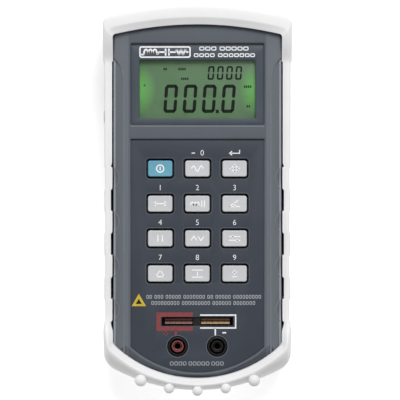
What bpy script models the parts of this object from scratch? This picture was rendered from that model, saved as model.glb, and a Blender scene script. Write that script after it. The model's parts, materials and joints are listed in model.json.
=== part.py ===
"""A handheld LCR meter in its rubber boot, lying on its back.

X runs across the meter, Y towards its display end and Z out of its face. The origin is on the boot's
back, under the middle of the boot. Sizes are in millimetres and become metres in solid_object().
"""

import math
from collections import namedtuple

import bmesh
import bpy
from mathutils import Matrix, Vector

MM = 0.001
GAP = 0.3  # clearance between pieces that touch on the real meter

# Plan outlines: straight sides, an arc at each end and a rounded corner between them.
Shield = namedtuple("Shield", "half top top_radius top_corner bottom bottom_radius bottom_corner")
CASE = Shield(40.5, 85.0, 169.0, 1.5, -85.4, 58.0, 2.5)
BOOT_OUTSIDE = Shield(45.5, 94.0, 169.0, 4.5, -92.3, 86.0, 9.0)
BOOT_CREST = Shield(43.2, 88.1, 172.0, 3.0, -88.6, 61.2, 5.0)
BOOT_INSIDE = Shield(40.8, 85.3, 169.3, 1.6, -85.7, 58.3, 2.6)
BOOT_WINDOW = Shield(37.5, 80.5, 165.0, 5.0, -82.0, 62.0, 6.0)

# Heights above the boot's back.
BOOT_FLOOR = 2.7
CASE_BACK = 3.0
REAR_WALL = 5.6
CASE_SPLIT = 27.0
FRONT_WALL = 43.3
RECESS_FLOOR = 45.7
FACE = 47.5
SIDE_CREST, TOP_CREST, BOTTOM_CREST = 46.0, 52.5, 51.0
SIDE_SHOULDER, TOP_SHOULDER, BOTTOM_SHOULDER = 43.0, 47.0, 33.0
SIDE_LIP, TOP_LIP, BOTTOM_LIP = 45.0, 50.2, 48.2
WALL = 2.5

# The side walls of the boot stand in from its ends, and further in at four finger grips a side.
SIDE_SETBACK = 0.6
GRIP_SETBACK = 1.05
SIDE_CLEARANCE = 0.7  # more room between case and boot along the sides than at the ends
GRIP_CLEARANCE = 0.25
GRIP_CENTRES = (10.5, -10.6, -31.9, -53.1)
GRIP_HALF_LENGTH = 5.6
TOP_CAP_EDGE = 66.8
BOTTOM_CAP_EDGE = -64.0
RIBS = (  # x, y and radius of each
    (0.0, -91.5, 2.5),
    (13.6, -90.3, 2.5),
    (-13.6, -90.3, 2.5),
    (27.2, -86.5, 2.9),
    (-27.2, -86.5, 2.9),
)
RIB_BALL_HEIGHT = 44.0

# The face.
RIDGE = 35.3
RIDGE_SWOOP_RADIUS = 13.6
RIDGE_SWOOP_Y = 58.0
FACET_SLOPE = 0.42
GRIP_CUT_RADIUS = 8.4
GRIP_CUT_X = 37.6
PANEL_HALF = 32.05
DISPLAY_RECESS = (36.4, 75.4)
KEYPAD_RECESS_TOP = 29.4
KEYPAD_RECESS_BOTTOM = -82.9
KEYPAD_RECESS_RADIUS = 48.0
LCD_WINDOW = (-27.9, 27.9, 39.3, 67.5)
PANEL_THICK = 0.7
LENS_Z = (44.6, 45.6)

# Keys.
KEY_COLUMNS = (-17.9, 0.0, 17.9)
KEY_ROWS = (15.2, -1.7, -18.4, -35.3)
KEY_NAMES = (
    ("key_power", "key_freq", "key_cal"),
    ("key_range", "key_lcr", "key_dqr"),
    ("key_hold", "key_minmax", "key_set"),
    ("key_rel", "key_limits", "key_tol"),
)
KEY_SIZE = (11.9, 7.9)
KEY_TOP = 48.3
KEY_FLANGE = (14.6, 10.7)
KEY_FLANGE_Z = (41.4, 42.7)
KEY_APERTURE = (13.3, 9.4)
KEY_CORNER = 1.2

# Terminals.
SLOT = (-17.3, 17.2, -60.4, -56.1)
SLOT_DIVIDER = (-2.0, 1.5)
JACK_X, JACK_Y = 9.525, -70.4
JACK_RADIUS, WELL_RADIUS, JACK_TOP = 4.65, 3.75, 46.8
BORE_RADIUS, CUP_RADIUS, CUP_BOTTOM, CUP_TOP = 2.0, 2.35, 25.7, 41.0
DC_Y, DC_Z, DC_RADIUS = 40.6, 31.4, 3.6

# Inside.
BOARD = (35.2, 36.8)
BATTERY = (-25.0, 21.4, -72.8, -46.3, 7.4, 24.9)
CASE_SCREWS = ((-32.0, 73.2), (32.0, 73.2), (-33.0, -37.5), (33.0, -37.5))
BOARD_SCREWS = ((-22.0, 29.0), (22.0, 29.0))
DOOR = (-28.0, 28.0, -73.0, -46.0)
DOOR_Z = (3.1, 5.2)
DOOR_SCREW_Y = -76.8
DOOR_EAR = 4.0
STAND_HALF = 26.0
STAND_FOOT, STAND_HINGE = -34.0, 26.5
STAND_Z = (3.3, 6.3)
STAND_RECESS_FLOOR = 6.9
STAND_WINDOW = (32.0, 42.0)
NOTCH_SIZE = (18.0, 5.5)
HINGE_PIN = 1.0
LABEL = (51.0, 44.0, 22.0)  # middle Y, width and height
SOUNDER_SLOTS = [66.0 + 2.2 * i for i in range(5)]

ROUND = 16  # sides of a small round piece


def clear_scene():
    for thing in list(bpy.data.objects):
        bpy.data.objects.remove(thing, do_unlink=True)


# ---------------------------------------------------------------- materials


def linear(level):
    """One channel of an sRGB colour, 0 to 255, as scene-linear."""
    share = level / 255
    return share / 12.92 if share <= 0.04045 else ((share + 0.055) / 1.055) ** 2.4


def finish(name, colour, roughness, metallic=0.0, alpha=1.0):
    made = bpy.data.materials.new(name)
    made.use_nodes = True
    shader = made.node_tree.nodes["Principled BSDF"]
    shader.inputs["Base Color"].default_value = (*(linear(c) for c in colour), 1.0)
    shader.inputs["Roughness"].default_value = roughness
    shader.inputs["Metallic"].default_value = metallic
    shader.inputs["Alpha"].default_value = alpha
    return made


# ---------------------------------------------------------------- outlines, as (x, y) in millimetres


def arc(x, y, radius, start, end, steps):
    """Points on an arc from start to end degrees, both ends included."""
    angles = [math.radians(start + (end - start) * i / steps) for i in range(steps + 1)]
    return [(x + radius * math.cos(a), y + radius * math.sin(a)) for a in angles]


def circle(x, y, radius, steps=ROUND):
    return arc(x, y, radius, 0, 360, steps)[:-1]


def rounded(x, y, width, height, corner, steps=3):
    """A rectangle about (x, y) with round corners, anticlockwise."""
    across, along = width / 2 - corner, height / 2 - corner
    outline = []
    for i, (sx, sy) in enumerate(((1, 1), (-1, 1), (-1, -1), (1, -1))):
        outline += arc(x + sx * across, y + sy * along, corner, 90 * i, 90 * i + 90, steps)
    return outline


def rectangle(x0, x1, y0, y1):
    return [(x0, y0), (x1, y0), (x1, y1), (x0, y1)]


def end_quarter(half, apex, radius, corner, arc_steps, corner_steps):
    """From the middle of an end arc, round its corner, to where the straight side starts."""
    centre = apex - radius
    corner_x = half - corner
    corner_y = centre + math.sqrt((radius - corner) ** 2 - corner_x**2)
    turn = math.atan2(corner_x, corner_y - centre)
    points = []
    for i in range(arc_steps + 1):
        a = turn * i / arc_steps
        points.append((radius * math.sin(a), centre + radius * math.cos(a)))
    for i in range(1, corner_steps + 1):
        a = turn + (math.pi / 2 - turn) * i / corner_steps
        points.append((corner_x + corner * math.sin(a), corner_y + corner * math.cos(a)))
    return points


def shield_outline(shape, inset=0.0, stations=(), arc_steps=8, corner_steps=2):
    """A shield's outline moved in by inset, anticlockwise. Stations are extra heights down each side."""
    half = shape.half - inset
    top = end_quarter(
        half,
        shape.top - inset,
        shape.top_radius - inset,
        max(shape.top_corner - inset, 0.3),
        arc_steps,
        corner_steps,
    )
    bottom = end_quarter(
        half,
        -shape.bottom - inset,
        shape.bottom_radius - inset,
        max(shape.bottom_corner - inset, 0.3),
        arc_steps,
        corner_steps,
    )
    right = top + [(half, y) for y in stations] + [(x, -y) for x, y in reversed(bottom)]
    left = [(-x, y) for x, y in reversed(right[1:-1])]
    return list(reversed(right + left))


# ---------------------------------------------------------------- solids, as (points, faces)


def prism(outline, low, high):
    count = len(outline)
    points = [(x, y, low) for x, y in outline] + [(x, y, high) for x, y in outline]
    faces = [tuple(reversed(range(count))), tuple(range(count, 2 * count))]
    faces += [(i, (i + 1) % count, count + (i + 1) % count, count + i) for i in range(count)]
    return points, faces


def box(x0, x1, y0, y1, z0, z1):
    return prism(rectangle(x0, x1, y0, y1), z0, z1)


def loft(rings, hollow=False):
    """Joins rings with the same number of points. A hollow loft joins its last ring to its first."""
    count = len(rings[0])
    points = [point for ring in rings for point in ring]
    pairs = [(k, k + 1) for k in range(len(rings) - 1)]
    if hollow:
        pairs.append((len(rings) - 1, 0))
        faces = []
    else:
        last = (len(rings) - 1) * count
        faces = [tuple(reversed(range(count))), tuple(range(last, last + count))]
    for low, high in pairs:
        for i in range(count):
            j = (i + 1) % count
            faces.append((low * count + i, low * count + j, high * count + j, high * count + i))
    return points, faces


def level(outline, z):
    return [(x, y, z) for x, y in outline]


def turned(profile, x=0.0, y=0.0, steps=ROUND):
    """A solid of revolution about a vertical line, from a closed profile of (radius, height)."""
    return loft([level(circle(x, y, r, steps), z) for r, z in profile], hollow=True)


def stacked(profile, x=0.0, y=0.0, steps=ROUND):
    """The same for a solid with no bore, from the profile of its outer side, bottom to top."""
    return loft([level(circle(x, y, r, steps), z) for r, z in profile])


def moved(solid, matrix):
    points, faces = solid
    return [tuple(matrix @ Vector(p)) for p in points], faces


def lying_along_x(solid, x, y, z):
    """Turns a solid's +Z to +X, then moves its origin to (x, y, z)."""
    turn = Matrix.Rotation(math.radians(90), 4, "Y")
    return moved(solid, Matrix.Translation((x, y, z)) @ turn)


def across(profile, x0, x1):
    """Extrudes a (y, z) outline along X."""
    points, faces = prism(profile, x0, x1)
    return [(z, x, y) for x, y, z in points], faces


# ---------------------------------------------------------------- objects


def solid_object(name, solids, look, origin=(0.0, 0.0, 0.0)):
    """One object from solids in millimetres, with its origin at a point of the meter."""
    build = bmesh.new()
    for points, faces in solids:
        made = [build.verts.new((Vector(p) - Vector(origin)) * MM) for p in points]
        for face in faces:
            build.faces.new([made[i] for i in face])
    bmesh.ops.recalc_face_normals(build, faces=build.faces)
    mesh = bpy.data.meshes.new(name)
    build.to_mesh(mesh)
    build.free()
    mesh.shade_smooth()
    mesh.set_sharp_from_angle(angle=math.radians(32))
    if look:
        mesh.materials.append(look)
    made = bpy.data.objects.new(name, mesh)
    made.location = Vector(origin) * MM
    bpy.context.scene.collection.objects.link(made)
    return made


def shaped(body, operation, name, solids):
    """A Boolean of body with solids that don't overlap one another."""
    tool = solid_object(name, solids, None)
    tool.hide_render = True
    tool.display_type = "WIRE"
    step = body.modifiers.new(name, "BOOLEAN")
    step.operation = operation
    step.object = tool


def cut(body, name, solids):
    shaped(body, "DIFFERENCE", name, solids)


def join(body, name, solids):
    shaped(body, "UNION", name, solids)


# ---------------------------------------------------------------- the rubber boot


def ramp(start, end, at):
    """0 at start, 1 at end and smooth between."""
    share = min(max((at - start) / (end - start), 0.0), 1.0)
    return share * share * (3 - 2 * share)


def by_place(side, top, bottom, y):
    """A value that is one thing along the sides and others at the two ends."""
    value = side + (top - side) * ramp(66.0, 80.0, y)
    return value + (bottom - side) * ramp(-56.0, -72.0, y)


def in_grip(y):
    """1 inside a finger grip, 0 between them. The upper end of each is a step and the lower a ramp."""
    for centre in GRIP_CENTRES:
        upper, lower = centre + GRIP_HALF_LENGTH, centre - GRIP_HALF_LENGTH
        if lower - 0.5 < y < upper:
            return ramp(lower - 0.4, lower + 1.0, y)
    return 0.0


def along_sides(y):
    """1 along the boot's side walls and 0 at its end caps."""
    below_top_cap = 1 - ramp(TOP_CAP_EDGE - 0.5, TOP_CAP_EDGE + 0.5, y)
    return below_top_cap * ramp(BOTTOM_CAP_EDGE, BOTTOM_CAP_EDGE + 5, y)


def outside_setback(y):
    return along_sides(y) * (SIDE_SETBACK + (GRIP_SETBACK - SIDE_SETBACK) * in_grip(y))


def inside_setback(y):
    return -along_sides(y) * (SIDE_CLEARANCE + (GRIP_CLEARANCE - SIDE_CLEARANCE) * in_grip(y))


def side_stations():
    """The heights down each side at which the boot's section changes."""
    found = [74.0, TOP_CAP_EDGE + 0.5, TOP_CAP_EDGE - 0.5]
    for centre in GRIP_CENTRES:
        upper, lower = centre + GRIP_HALF_LENGTH, centre - GRIP_HALF_LENGTH
        found += [upper + 0.05, upper - 0.3, lower + 1.0, lower - 0.4]
    return found + [BOTTOM_CAP_EDGE]


def boot_ring(shape, height, setback=None, inset=0.0):
    """One ring of the boot's surface. Height is a function of Y."""
    ring = []
    for x, y in shield_outline(shape, inset, side_stations(), 9, 3):
        step = setback(y) if setback else 0.0
        ring.append((math.copysign(max(abs(x) - step, 0.0), x), y, height(y)))
    return ring


def between(ring_a, ring_b, share, height_share):
    """A ring part of the way from one to another, across and up by different shares."""
    points = []
    for a, b in zip(ring_a, ring_b, strict=True):
        x, y = (a[k] + (b[k] - a[k]) * share for k in (0, 1))
        points.append((x, y, a[2] + (b[2] - a[2]) * height_share))
    return points


def boot_rings():
    """The boot's section, from the window's lower edge out, up the outside, over and down the inside."""
    shoulder = boot_ring(
        BOOT_OUTSIDE,
        lambda y: by_place(SIDE_SHOULDER, TOP_SHOULDER, BOTTOM_SHOULDER, y),
        outside_setback,
    )
    crest = boot_ring(BOOT_CREST, lambda y: by_place(SIDE_CREST, TOP_CREST, BOTTOM_CREST, y))
    bevel = boot_ring(BOOT_INSIDE, lambda y: by_place(SIDE_LIP, TOP_LIP, BOTTOM_LIP, y), inside_setback)
    return [
        boot_ring(BOOT_WINDOW, lambda y: 0.0),
        boot_ring(BOOT_OUTSIDE, lambda y: 0.0, outside_setback, 2.2),
        boot_ring(BOOT_OUTSIDE, lambda y: 0.6, outside_setback, 0.7),
        boot_ring(BOOT_OUTSIDE, lambda y: 2.2, outside_setback),
        shoulder,
        between(shoulder, crest, 0.12, 0.42),
        between(shoulder, crest, 0.42, 0.78),
        crest,
        bevel,
        boot_ring(BOOT_INSIDE, lambda y: BOOT_FLOOR, inside_setback),
        boot_ring(BOOT_WINDOW, lambda y: BOOT_FLOOR),
    ]


def rib(x, y, radius):
    """A round rib down the boot's lower end, with a ball for its top."""
    profile = [(radius, 4.0), (radius, RIB_BALL_HEIGHT)]
    for angle in (25, 50, 75):
        a = math.radians(angle)
        profile.append((radius * math.cos(a), RIB_BALL_HEIGHT + radius * math.sin(a)))
    return stacked(profile, x, y, 12)


def add_boot(look):
    boot = solid_object("boot", [loft(boot_rings(), hollow=True)], look)
    join(boot, "boot_ribs", [rib(*place) for place in RIBS])
    inlet = DC_RADIUS + 0.8
    cut(boot, "boot_dc_hole", [lying_along_x(stacked([(inlet, 0), (inlet, 9)]), -48, DC_Y, DC_Z)])


# ---------------------------------------------------------------- the case


def mirrored(solids):
    return [([(-x, y, z) for x, y, z in points], faces) for points, faces in solids]


def facet_cutter():
    """What is cut away outside the ridge down each side of the face: a slope down to the edge."""
    swoop_x = RIDGE + RIDGE_SWOOP_RADIUS
    outline = arc(swoop_x, RIDGE_SWOOP_Y, RIDGE_SWOOP_RADIUS, 180, 125, 6)
    outline += [(42.5, outline[-1][1]), (42.5, -78.0), (RIDGE, -78.0)]
    rings = [[(x, y, FACE - FACET_SLOPE * (x - RIDGE)) for x, y in outline], level(outline, FACE + 3)]
    side = [loft(rings)]
    return side + mirrored(side)


def grip_cutters():
    """Slanted round cuts that leave a lens shape in each side facet."""
    facet_height = FACE - FACET_SLOPE * (GRIP_CUT_X - RIDGE)
    reach = GRIP_CUT_RADIUS * math.sqrt(2)
    side = []
    for y in GRIP_CENTRES:
        place = Matrix.Translation((GRIP_CUT_X + reach, y, facet_height))
        turn = Matrix.Rotation(math.radians(-45), 4, "Y")
        roller = stacked([(GRIP_CUT_RADIUS, -16), (GRIP_CUT_RADIUS, 16)], steps=20)
        side.append(moved(roller, place @ turn))
    return side + mirrored(side)


def keypad_outline(inset=0.0):
    half, radius = PANEL_HALF - inset, KEYPAD_RECESS_RADIUS - inset
    centre = KEYPAD_RECESS_BOTTOM + KEYPAD_RECESS_RADIUS
    angle = math.degrees(math.acos(half / radius))
    lower = arc(0, centre, radius, 180 + angle, 360 - angle, 12)
    return [*lower, (half, KEYPAD_RECESS_TOP - inset), (-half, KEYPAD_RECESS_TOP - inset)]


def lcd_window(margin):
    x0, x1, y0, y1 = LCD_WINDOW
    return x0 - margin, x1 + margin, y0 - margin, y1 + margin


def key_places():
    for row, names in zip(KEY_ROWS, KEY_NAMES, strict=True):
        for column, name in zip(KEY_COLUMNS, names, strict=True):
            yield name, column, row


def face_openings(key_size, slack, low, high):
    """Holes for the keys, the test slot and the two sockets, through a plate from low to high."""
    width, height = key_size
    holes = [prism(rounded(x, y, width, height, 1.5, 2), low, high) for _, x, y in key_places()]
    x0, x1, y0, y1 = SLOT
    holes.append(box(x0 - slack, x1 + slack, y0 - slack, y1 + slack, low, high))
    holes += [prism(circle(s * JACK_X, JACK_Y, JACK_RADIUS + GAP), low, high) for s in (-1, 1)]
    return holes


def add_front_case(look):
    levels = [(CASE_SPLIT, 0.0), (46.3, 0.0), (47.1, 0.35), (FACE, 1.1)]
    shell = loft([level(shield_outline(CASE, inset), z) for z, inset in levels])
    case = solid_object("front_case", [shell], look)
    cut(case, "front_cavity", [prism(shield_outline(CASE, WALL), CASE_SPLIT - 1, FRONT_WALL)])
    rooted = FRONT_WALL + 0.5
    bosses = [prism(circle(x, y, 3.2, 12), CASE_SPLIT, rooted) for x, y in CASE_SCREWS]
    bosses += [prism(circle(x, y, 2.6, 12), BOARD[1] + GAP, rooted) for x, y in BOARD_SCREWS]
    join(case, "front_bosses", bosses)
    bores = [prism(circle(x, y, 1.8, 12), CASE_SPLIT - 1, 40.0) for x, y in CASE_SCREWS]
    bores += [prism(circle(x, y, 1.4, 10), BOARD[1], 42.0) for x, y in BOARD_SCREWS]
    inlet = stacked([(DC_RADIUS + GAP, 0), (DC_RADIUS + GAP, 6)])
    bores.append(lying_along_x(inlet, -42.5, DC_Y, DC_Z))
    cut(case, "front_bores", bores)
    low, high = DISPLAY_RECESS
    display = rounded(0, (low + high) / 2, 2 * PANEL_HALF, high - low, 0.6, 1)
    recesses = [prism(outline, RECESS_FLOOR, FACE + 2) for outline in (display, keypad_outline())]
    cut(case, "face_recesses", recesses)
    pocket = box(*lcd_window(1.3), LENS_Z[0] - GAP, RECESS_FLOOR + 0.4)
    cut(case, "lens_pocket", [pocket])
    cut(case, "lcd_opening", [box(*LCD_WINDOW, FRONT_WALL - 1, LENS_Z[0] + 0.2)])
    cut(case, "face_holes", face_openings(KEY_APERTURE, 0.8, FRONT_WALL - 1, RECESS_FLOOR + 1))
    cut(case, "side_facets", facet_cutter())
    cut(case, "grip_cuts", grip_cutters())


def stepped_bore(x, y, head_radius, head_top, bore_radius, top):
    """A screw's hole from the back: a counterbore, then a bore."""
    start = CASE_BACK - 1
    profile = [(head_radius, start), (head_radius, head_top), (bore_radius, head_top), (bore_radius, top)]
    return stacked(profile, x, y)


def stand_recess():
    """The stand's bed, with a finger notch at its foot."""
    low, high = STAND_FOOT - 0.4, STAND_HINGE + 1.9
    half = STAND_HALF + 0.4
    notch_half, notch_foot = NOTCH_SIZE[0] / 2, low - NOTCH_SIZE[1]
    outline = [(-half, high), (-half, low), (-notch_half, low), (-notch_half, notch_foot)]
    outline += [(-x, y) for x, y in reversed(outline)]
    return prism(outline, CASE_BACK - 1, STAND_RECESS_FLOOR)


def ear_outline(slack, top):
    """The screw ear at the battery door's lower edge."""
    half = DOOR_EAR + slack
    return [(-half, top), *arc(0, DOOR_SCREW_Y, half, 180, 360, 10), (half, top)]


def door_outline():
    x0, x1, y0, y1 = DOOR
    return [(x0, y1), (x0, y0), *ear_outline(0.0, y0), (x1, y0), (x1, y1)]


def add_rear_case(look):
    levels = [(CASE_BACK, 1.2), (3.5, 0.4), (4.6, 0.0), (CASE_SPLIT - GAP, 0.0)]
    shell = loft([level(shield_outline(CASE, inset), z) for z, inset in levels])
    case = solid_object("rear_case", [shell], look)
    cut(case, "rear_cavity", [prism(shield_outline(CASE, WALL), REAR_WALL, CASE_SPLIT + 1)])
    below, rooted = CASE_BACK - 1, REAR_WALL - 0.5
    battery_walls = [(-30.2, -43.1), (-30.2, -73.5), (-28.9, -73.5), (-28.9, -44.4)]
    battery_walls += [(-x, y) for x, y in reversed(battery_walls)]
    inner = [prism(circle(x, y, 3.4, 12), rooted, CASE_SPLIT - GAP) for x, y in CASE_SCREWS]
    inner.append(prism(battery_walls, rooted, 24.0))
    inner.append(box(-29.0, 29.0, -41.3, 31.5, rooted, 9.3))
    inner.append(prism(circle(0, DOOR_SCREW_Y, 3.2, 16), rooted, 11.5))
    join(case, "rear_inner", inner)
    label_y, label_width, label_height = LABEL
    label_seat = rounded(0, label_y, label_width + 0.8, label_height + 0.8, 1.9)
    cut(case, "rear_recess", [stand_recess(), prism(label_seat, below, 3.9)])
    hinge_holes = stacked([(HINGE_PIN + GAP, -28.3), (HINGE_PIN + GAP, 28.3)], steps=14)
    cut(case, "hinge_holes", [lying_along_x(hinge_holes, 0, STAND_HINGE, sum(STAND_Z) / 2)])
    x0, x1, y0, y1 = DOOR
    opening = box(x0 - GAP, x1 + GAP, y0 - GAP, y1 + GAP, below, REAR_WALL + 0.4)
    cut(case, "battery_opening", [opening])
    cut(case, "ear_seat", [prism(ear_outline(GAP, y0 + 1), below, DOOR_Z[1] + GAP)])
    holes = [stepped_bore(x, y, 3.1, 5.4, 1.8, CASE_SPLIT + 1) for x, y in CASE_SCREWS]
    holes.append(prism(circle(0, DOOR_SCREW_Y, 1.5, 12), CASE_BACK, 10.8))
    cut(case, "rear_bores", holes)
    slots = [prism(rounded(0, y, 15, 1.1, 0.5, 2), below, REAR_WALL + 1) for y in SOUNDER_SLOTS]
    cut(case, "sounder_slots", slots)


def add_battery_door(look, screw_look):
    door = solid_object("battery_door", [prism(door_outline(), *DOOR_Z)], look)
    top, inside = DOOR[3], DOOR_Z[1] - 0.4
    catch_low, catch_high = REAR_WALL + GAP, REAR_WALL + 1.4
    hook = [(top - 2.0, inside), (top - 0.4, inside), (top - 0.4, catch_low)]
    hook += [(top + 1.2, catch_low), (top + 1.2, catch_high), (top - 2.0, catch_high)]
    join(door, "door_hooks", [across(hook, x - 3, x + 3) for x in (-15, 15)])
    cut(door, "door_bore", [stepped_bore(0, DOOR_SCREW_Y, 2.8, 4.3, 1.5, 7)])
    ridges = [box(-9, 9, -51.0 - 2.0 * i, -50.2 - 2.0 * i, CASE_BACK - 1, 3.5) for i in range(4)]
    cut(door, "door_grip_lines", ridges)
    add_screw("battery_door_screw", 0, DOOR_SCREW_Y, 2.5, (3.3, 4.0), 1.1, 10.4, screw_look)


def add_screw(name, x, y, head_radius, head, shaft_radius, tip, look):
    """A cross-head screw that points up from its head."""
    profile = [(head_radius * 0.9, head[0]), (head_radius, head[0] + 0.3), (head_radius, head[1])]
    profile += [(shaft_radius, head[1]), (shaft_radius * 0.6, tip)]
    made = solid_object(name, [stacked(profile, x, y, 12)], look)
    long, short = head_radius * 0.62, head_radius * 0.16
    plus = [(-short, -long), (short, -long), (short, -short), (long, -short), (long, short), (short, short)]
    plus += [(-a, -b) for a, b in plus]
    cut(made, name + "_cross", [prism([(x + a, y + b) for a, b in plus], head[0] - 1, head[0] + 0.45)])


def add_case_screws(look):
    for number, (x, y) in enumerate(CASE_SCREWS, 1):
        add_screw(f"case_screw_{number}", x, y, 2.7, (3.5, 5.0), 1.4, 38.0, look)


def add_tilt_stand(look):
    """A framed flap whose round top edge turns on two pins."""
    middle, radius = sum(STAND_Z) / 2, (STAND_Z[1] - STAND_Z[0]) / 2
    edge = arc(STAND_HINGE, middle, radius, -90, 90, 8)
    foot = [(STAND_FOOT, STAND_Z[1]), (STAND_FOOT, STAND_Z[0] + 0.6), (STAND_FOOT + 0.6, STAND_Z[0])]
    pivot = (0.0, STAND_HINGE, middle)
    stand = solid_object("tilt_stand", [across([*edge, *foot], -STAND_HALF, STAND_HALF)], look, pivot)
    window = prism(rounded(0, -2.0, *STAND_WINDOW, 4.0), STAND_Z[0] - 1, STAND_Z[1] + 1)
    cut(stand, "stand_window", [window])
    pin = stacked([(HINGE_PIN, -1.5), (HINGE_PIN, 1.6)], steps=14)
    pins = [lying_along_x(pin, side * (STAND_HALF + 0.4), STAND_HINGE, middle) for side in (-1, 1)]
    join(stand, "stand_pins", pins)


# ---------------------------------------------------------------- the display


def add_display(looks):
    low, high = DISPLAY_RECESS
    middle = (low + high) / 2
    back = RECESS_FLOOR + GAP
    plate = rounded(0, middle, 2 * (PANEL_HALF - GAP), high - low - 2 * GAP, 0.5, 1)
    panel = solid_object("display_panel", [prism(plate, back, back + PANEL_THICK)], looks["panel"])
    cut(panel, "panel_window", [box(*LCD_WINDOW, RECESS_FLOOR, FACE)])
    solid_object("display_lens", [box(*lcd_window(1.0), *LENS_Z)], looks["lens"])
    shell = box(-30.6, 30.6, 35.6, 69.4, BOARD[1] + GAP, FRONT_WALL - GAP)
    frame = solid_object("lcd_frame", [shell], looks["black"])
    cut(frame, "lcd_frame_cavity", [box(-29.5, 29.5, 36.3, 68.7, BOARD[1] - 1, 42.5)])
    cut(frame, "lcd_frame_window", [box(*lcd_window(0.4), 42, 44)])
    solid_object("lcd_glass", [box(-29.2, 29.2, 36.6, 68.4, 40.6, 42.2)], looks["lcd"])
    solid_object("backlight_panel", [box(-27.4, 27.4, 39.1, 68.4, 37.4, 40.3)], looks["backlight"])
    solid_object("zebra_strip", [box(-26.5, 26.5, 36.7, 38.7, 37.1, 40.3)], looks["rubber"])
    for side, name in ((-1, "left"), (1, "right")):
        x = sorted((side * 27.8, side * 29.2))
        solid_object(f"backlight_led_{name}", [box(*x, 49.5, 57.5, 37.3, 40.2)], looks["led"])


# ---------------------------------------------------------------- the keypad


def add_overlay(look):
    low = RECESS_FLOOR + GAP
    overlay = solid_object("keypad_overlay", [prism(keypad_outline(GAP), low, low + PANEL_THICK)], look)
    cut(overlay, "overlay_holes", face_openings((13.7, 9.8), 0.0, low - 1, FACE + 1))


def add_keys(looks):
    low, shelf = KEY_FLANGE_Z
    for name, x, y in key_places():
        flange = rounded(x, y, *KEY_FLANGE, KEY_CORNER, 2)
        cap = rounded(x, y, *KEY_SIZE, KEY_CORNER, 2)
        crown = rounded(x, y, KEY_SIZE[0] - 0.7, KEY_SIZE[1] - 0.7, KEY_CORNER - 0.3, 2)
        rings = [level(flange, low), level(flange, shelf), level(cap, shelf), level(cap, KEY_TOP - 0.35)]
        look = looks["power_key" if name == "key_power" else "key"]
        solid_object(name, [loft([*rings, level(crown, KEY_TOP)])], look, (x, y, shelf))


def add_keypad_mat(look):
    base = BOARD[1] + GAP
    mat = solid_object("keypad_mat", [box(-26.0, 26.0, -42.5, 22.5, base, base + 0.9)], look)
    dome = [(4.6, base + 0.4), (4.6, base + 0.9), (3.4, base + 3.0)]
    join(mat, "mat_domes", [stacked(dome, x, y, 10) for _, x, y in key_places()])


# ---------------------------------------------------------------- the terminals


def add_slot(looks):
    """The test slot: a divided housing with a pair of spring contacts in each half."""
    x0, x1, y0, y1 = SLOT
    base, shelf, top = BOARD[1] + GAP, FRONT_WALL - GAP, RECESS_FLOOR
    wide = rectangle(x0 - 2.0, x1 + 2.0, y0 - 1.8, y1 + 1.8)
    neck = rectangle(x0 - 0.5, x1 + 0.5, y0 - 0.5, y1 + 0.5)
    body = loft([level(wide, base), level(wide, shelf), level(neck, shelf), level(neck, top)])
    housing = solid_object("slot_housing", [body], looks["black"])
    halves = ((x0 + 0.3, SLOT_DIVIDER[0]), (SLOT_DIVIDER[1], x1 - 0.3))
    pockets = [box(a, b, y0 + 0.2, y1 - 0.2, base + 0.9, top + 1) for a, b in halves]
    cut(housing, "slot_pockets", pockets)
    for sign, ends, metal in zip(("pos", "neg"), halves, ("copper", "brass"), strict=True):
        look = looks[metal]
        inner, outer = sorted(ends, key=abs)
        near = inner + math.copysign(GAP, inner)
        far = outer - math.copysign(1.3, outer)
        for name, wall, way in (("upper", y1 - 0.2, -1), ("lower", y0 + 0.2, 1)):
            x = sorted((near, far))
            solid_object(f"contact_{sign}_{name}", [across(contact_profile(wall, way), *x)], look)


def contact_profile(wall, way):
    """A leaf spring seen from its end: it stands by the wall, bows to the middle and flares at the top."""
    base = BOARD[1] + GAP + 1.2
    middle_line = [(0.5, base), (0.7, 41.0), (1.35, 43.6), (0.75, 45.0)]
    near = [(wall + way * (offset - 0.18), z) for offset, z in middle_line]
    far = [(wall + way * (offset + 0.18), z) for offset, z in middle_line]
    return near + far[::-1]


def add_jacks(looks):
    """Two shrouded 4 mm sockets at the standard spacing."""
    base = BOARD[1] + GAP
    for side, sign, colour in ((-1, "pos", "red"), (1, "neg", "black")):
        x = side * JACK_X
        seat = base + 1.9
        shroud = [(JACK_RADIUS, base), (JACK_RADIUS, JACK_TOP), (WELL_RADIUS, JACK_TOP)]
        shroud += [(WELL_RADIUS, seat), (CUP_RADIUS + GAP, seat), (CUP_RADIUS + GAP, base)]
        solid_object(f"jack_{sign}_shroud", [turned(shroud, x, JACK_Y)], looks["black"])
        skirt, neck, mouth, throat = WELL_RADIUS - 0.6, 2.7, BORE_RADIUS + 0.1, CUP_RADIUS + GAP
        sleeve = [(skirt, seat + GAP), (skirt, CUP_TOP + 0.9), (neck, CUP_TOP + 1.5)]
        sleeve += [(neck, JACK_TOP - 1.0), (mouth, JACK_TOP - 1.0), (mouth, CUP_TOP + GAP)]
        sleeve += [(throat, CUP_TOP + GAP), (throat, seat + GAP)]
        solid_object(f"jack_{sign}_sleeve", [turned(sleeve, x, JACK_Y)], looks[colour])
        cup = stacked([(CUP_RADIUS, CUP_BOTTOM), (CUP_RADIUS, CUP_TOP)], x, JACK_Y)
        tube = solid_object(f"jack_{sign}_contact", [cup], looks["brass"])
        bore = [(BORE_RADIUS, CUP_BOTTOM + 0.9), (BORE_RADIUS, CUP_TOP + 1)]
        cut(tube, f"jack_{sign}_bore", [stacked(bore, x, JACK_Y)])


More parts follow.
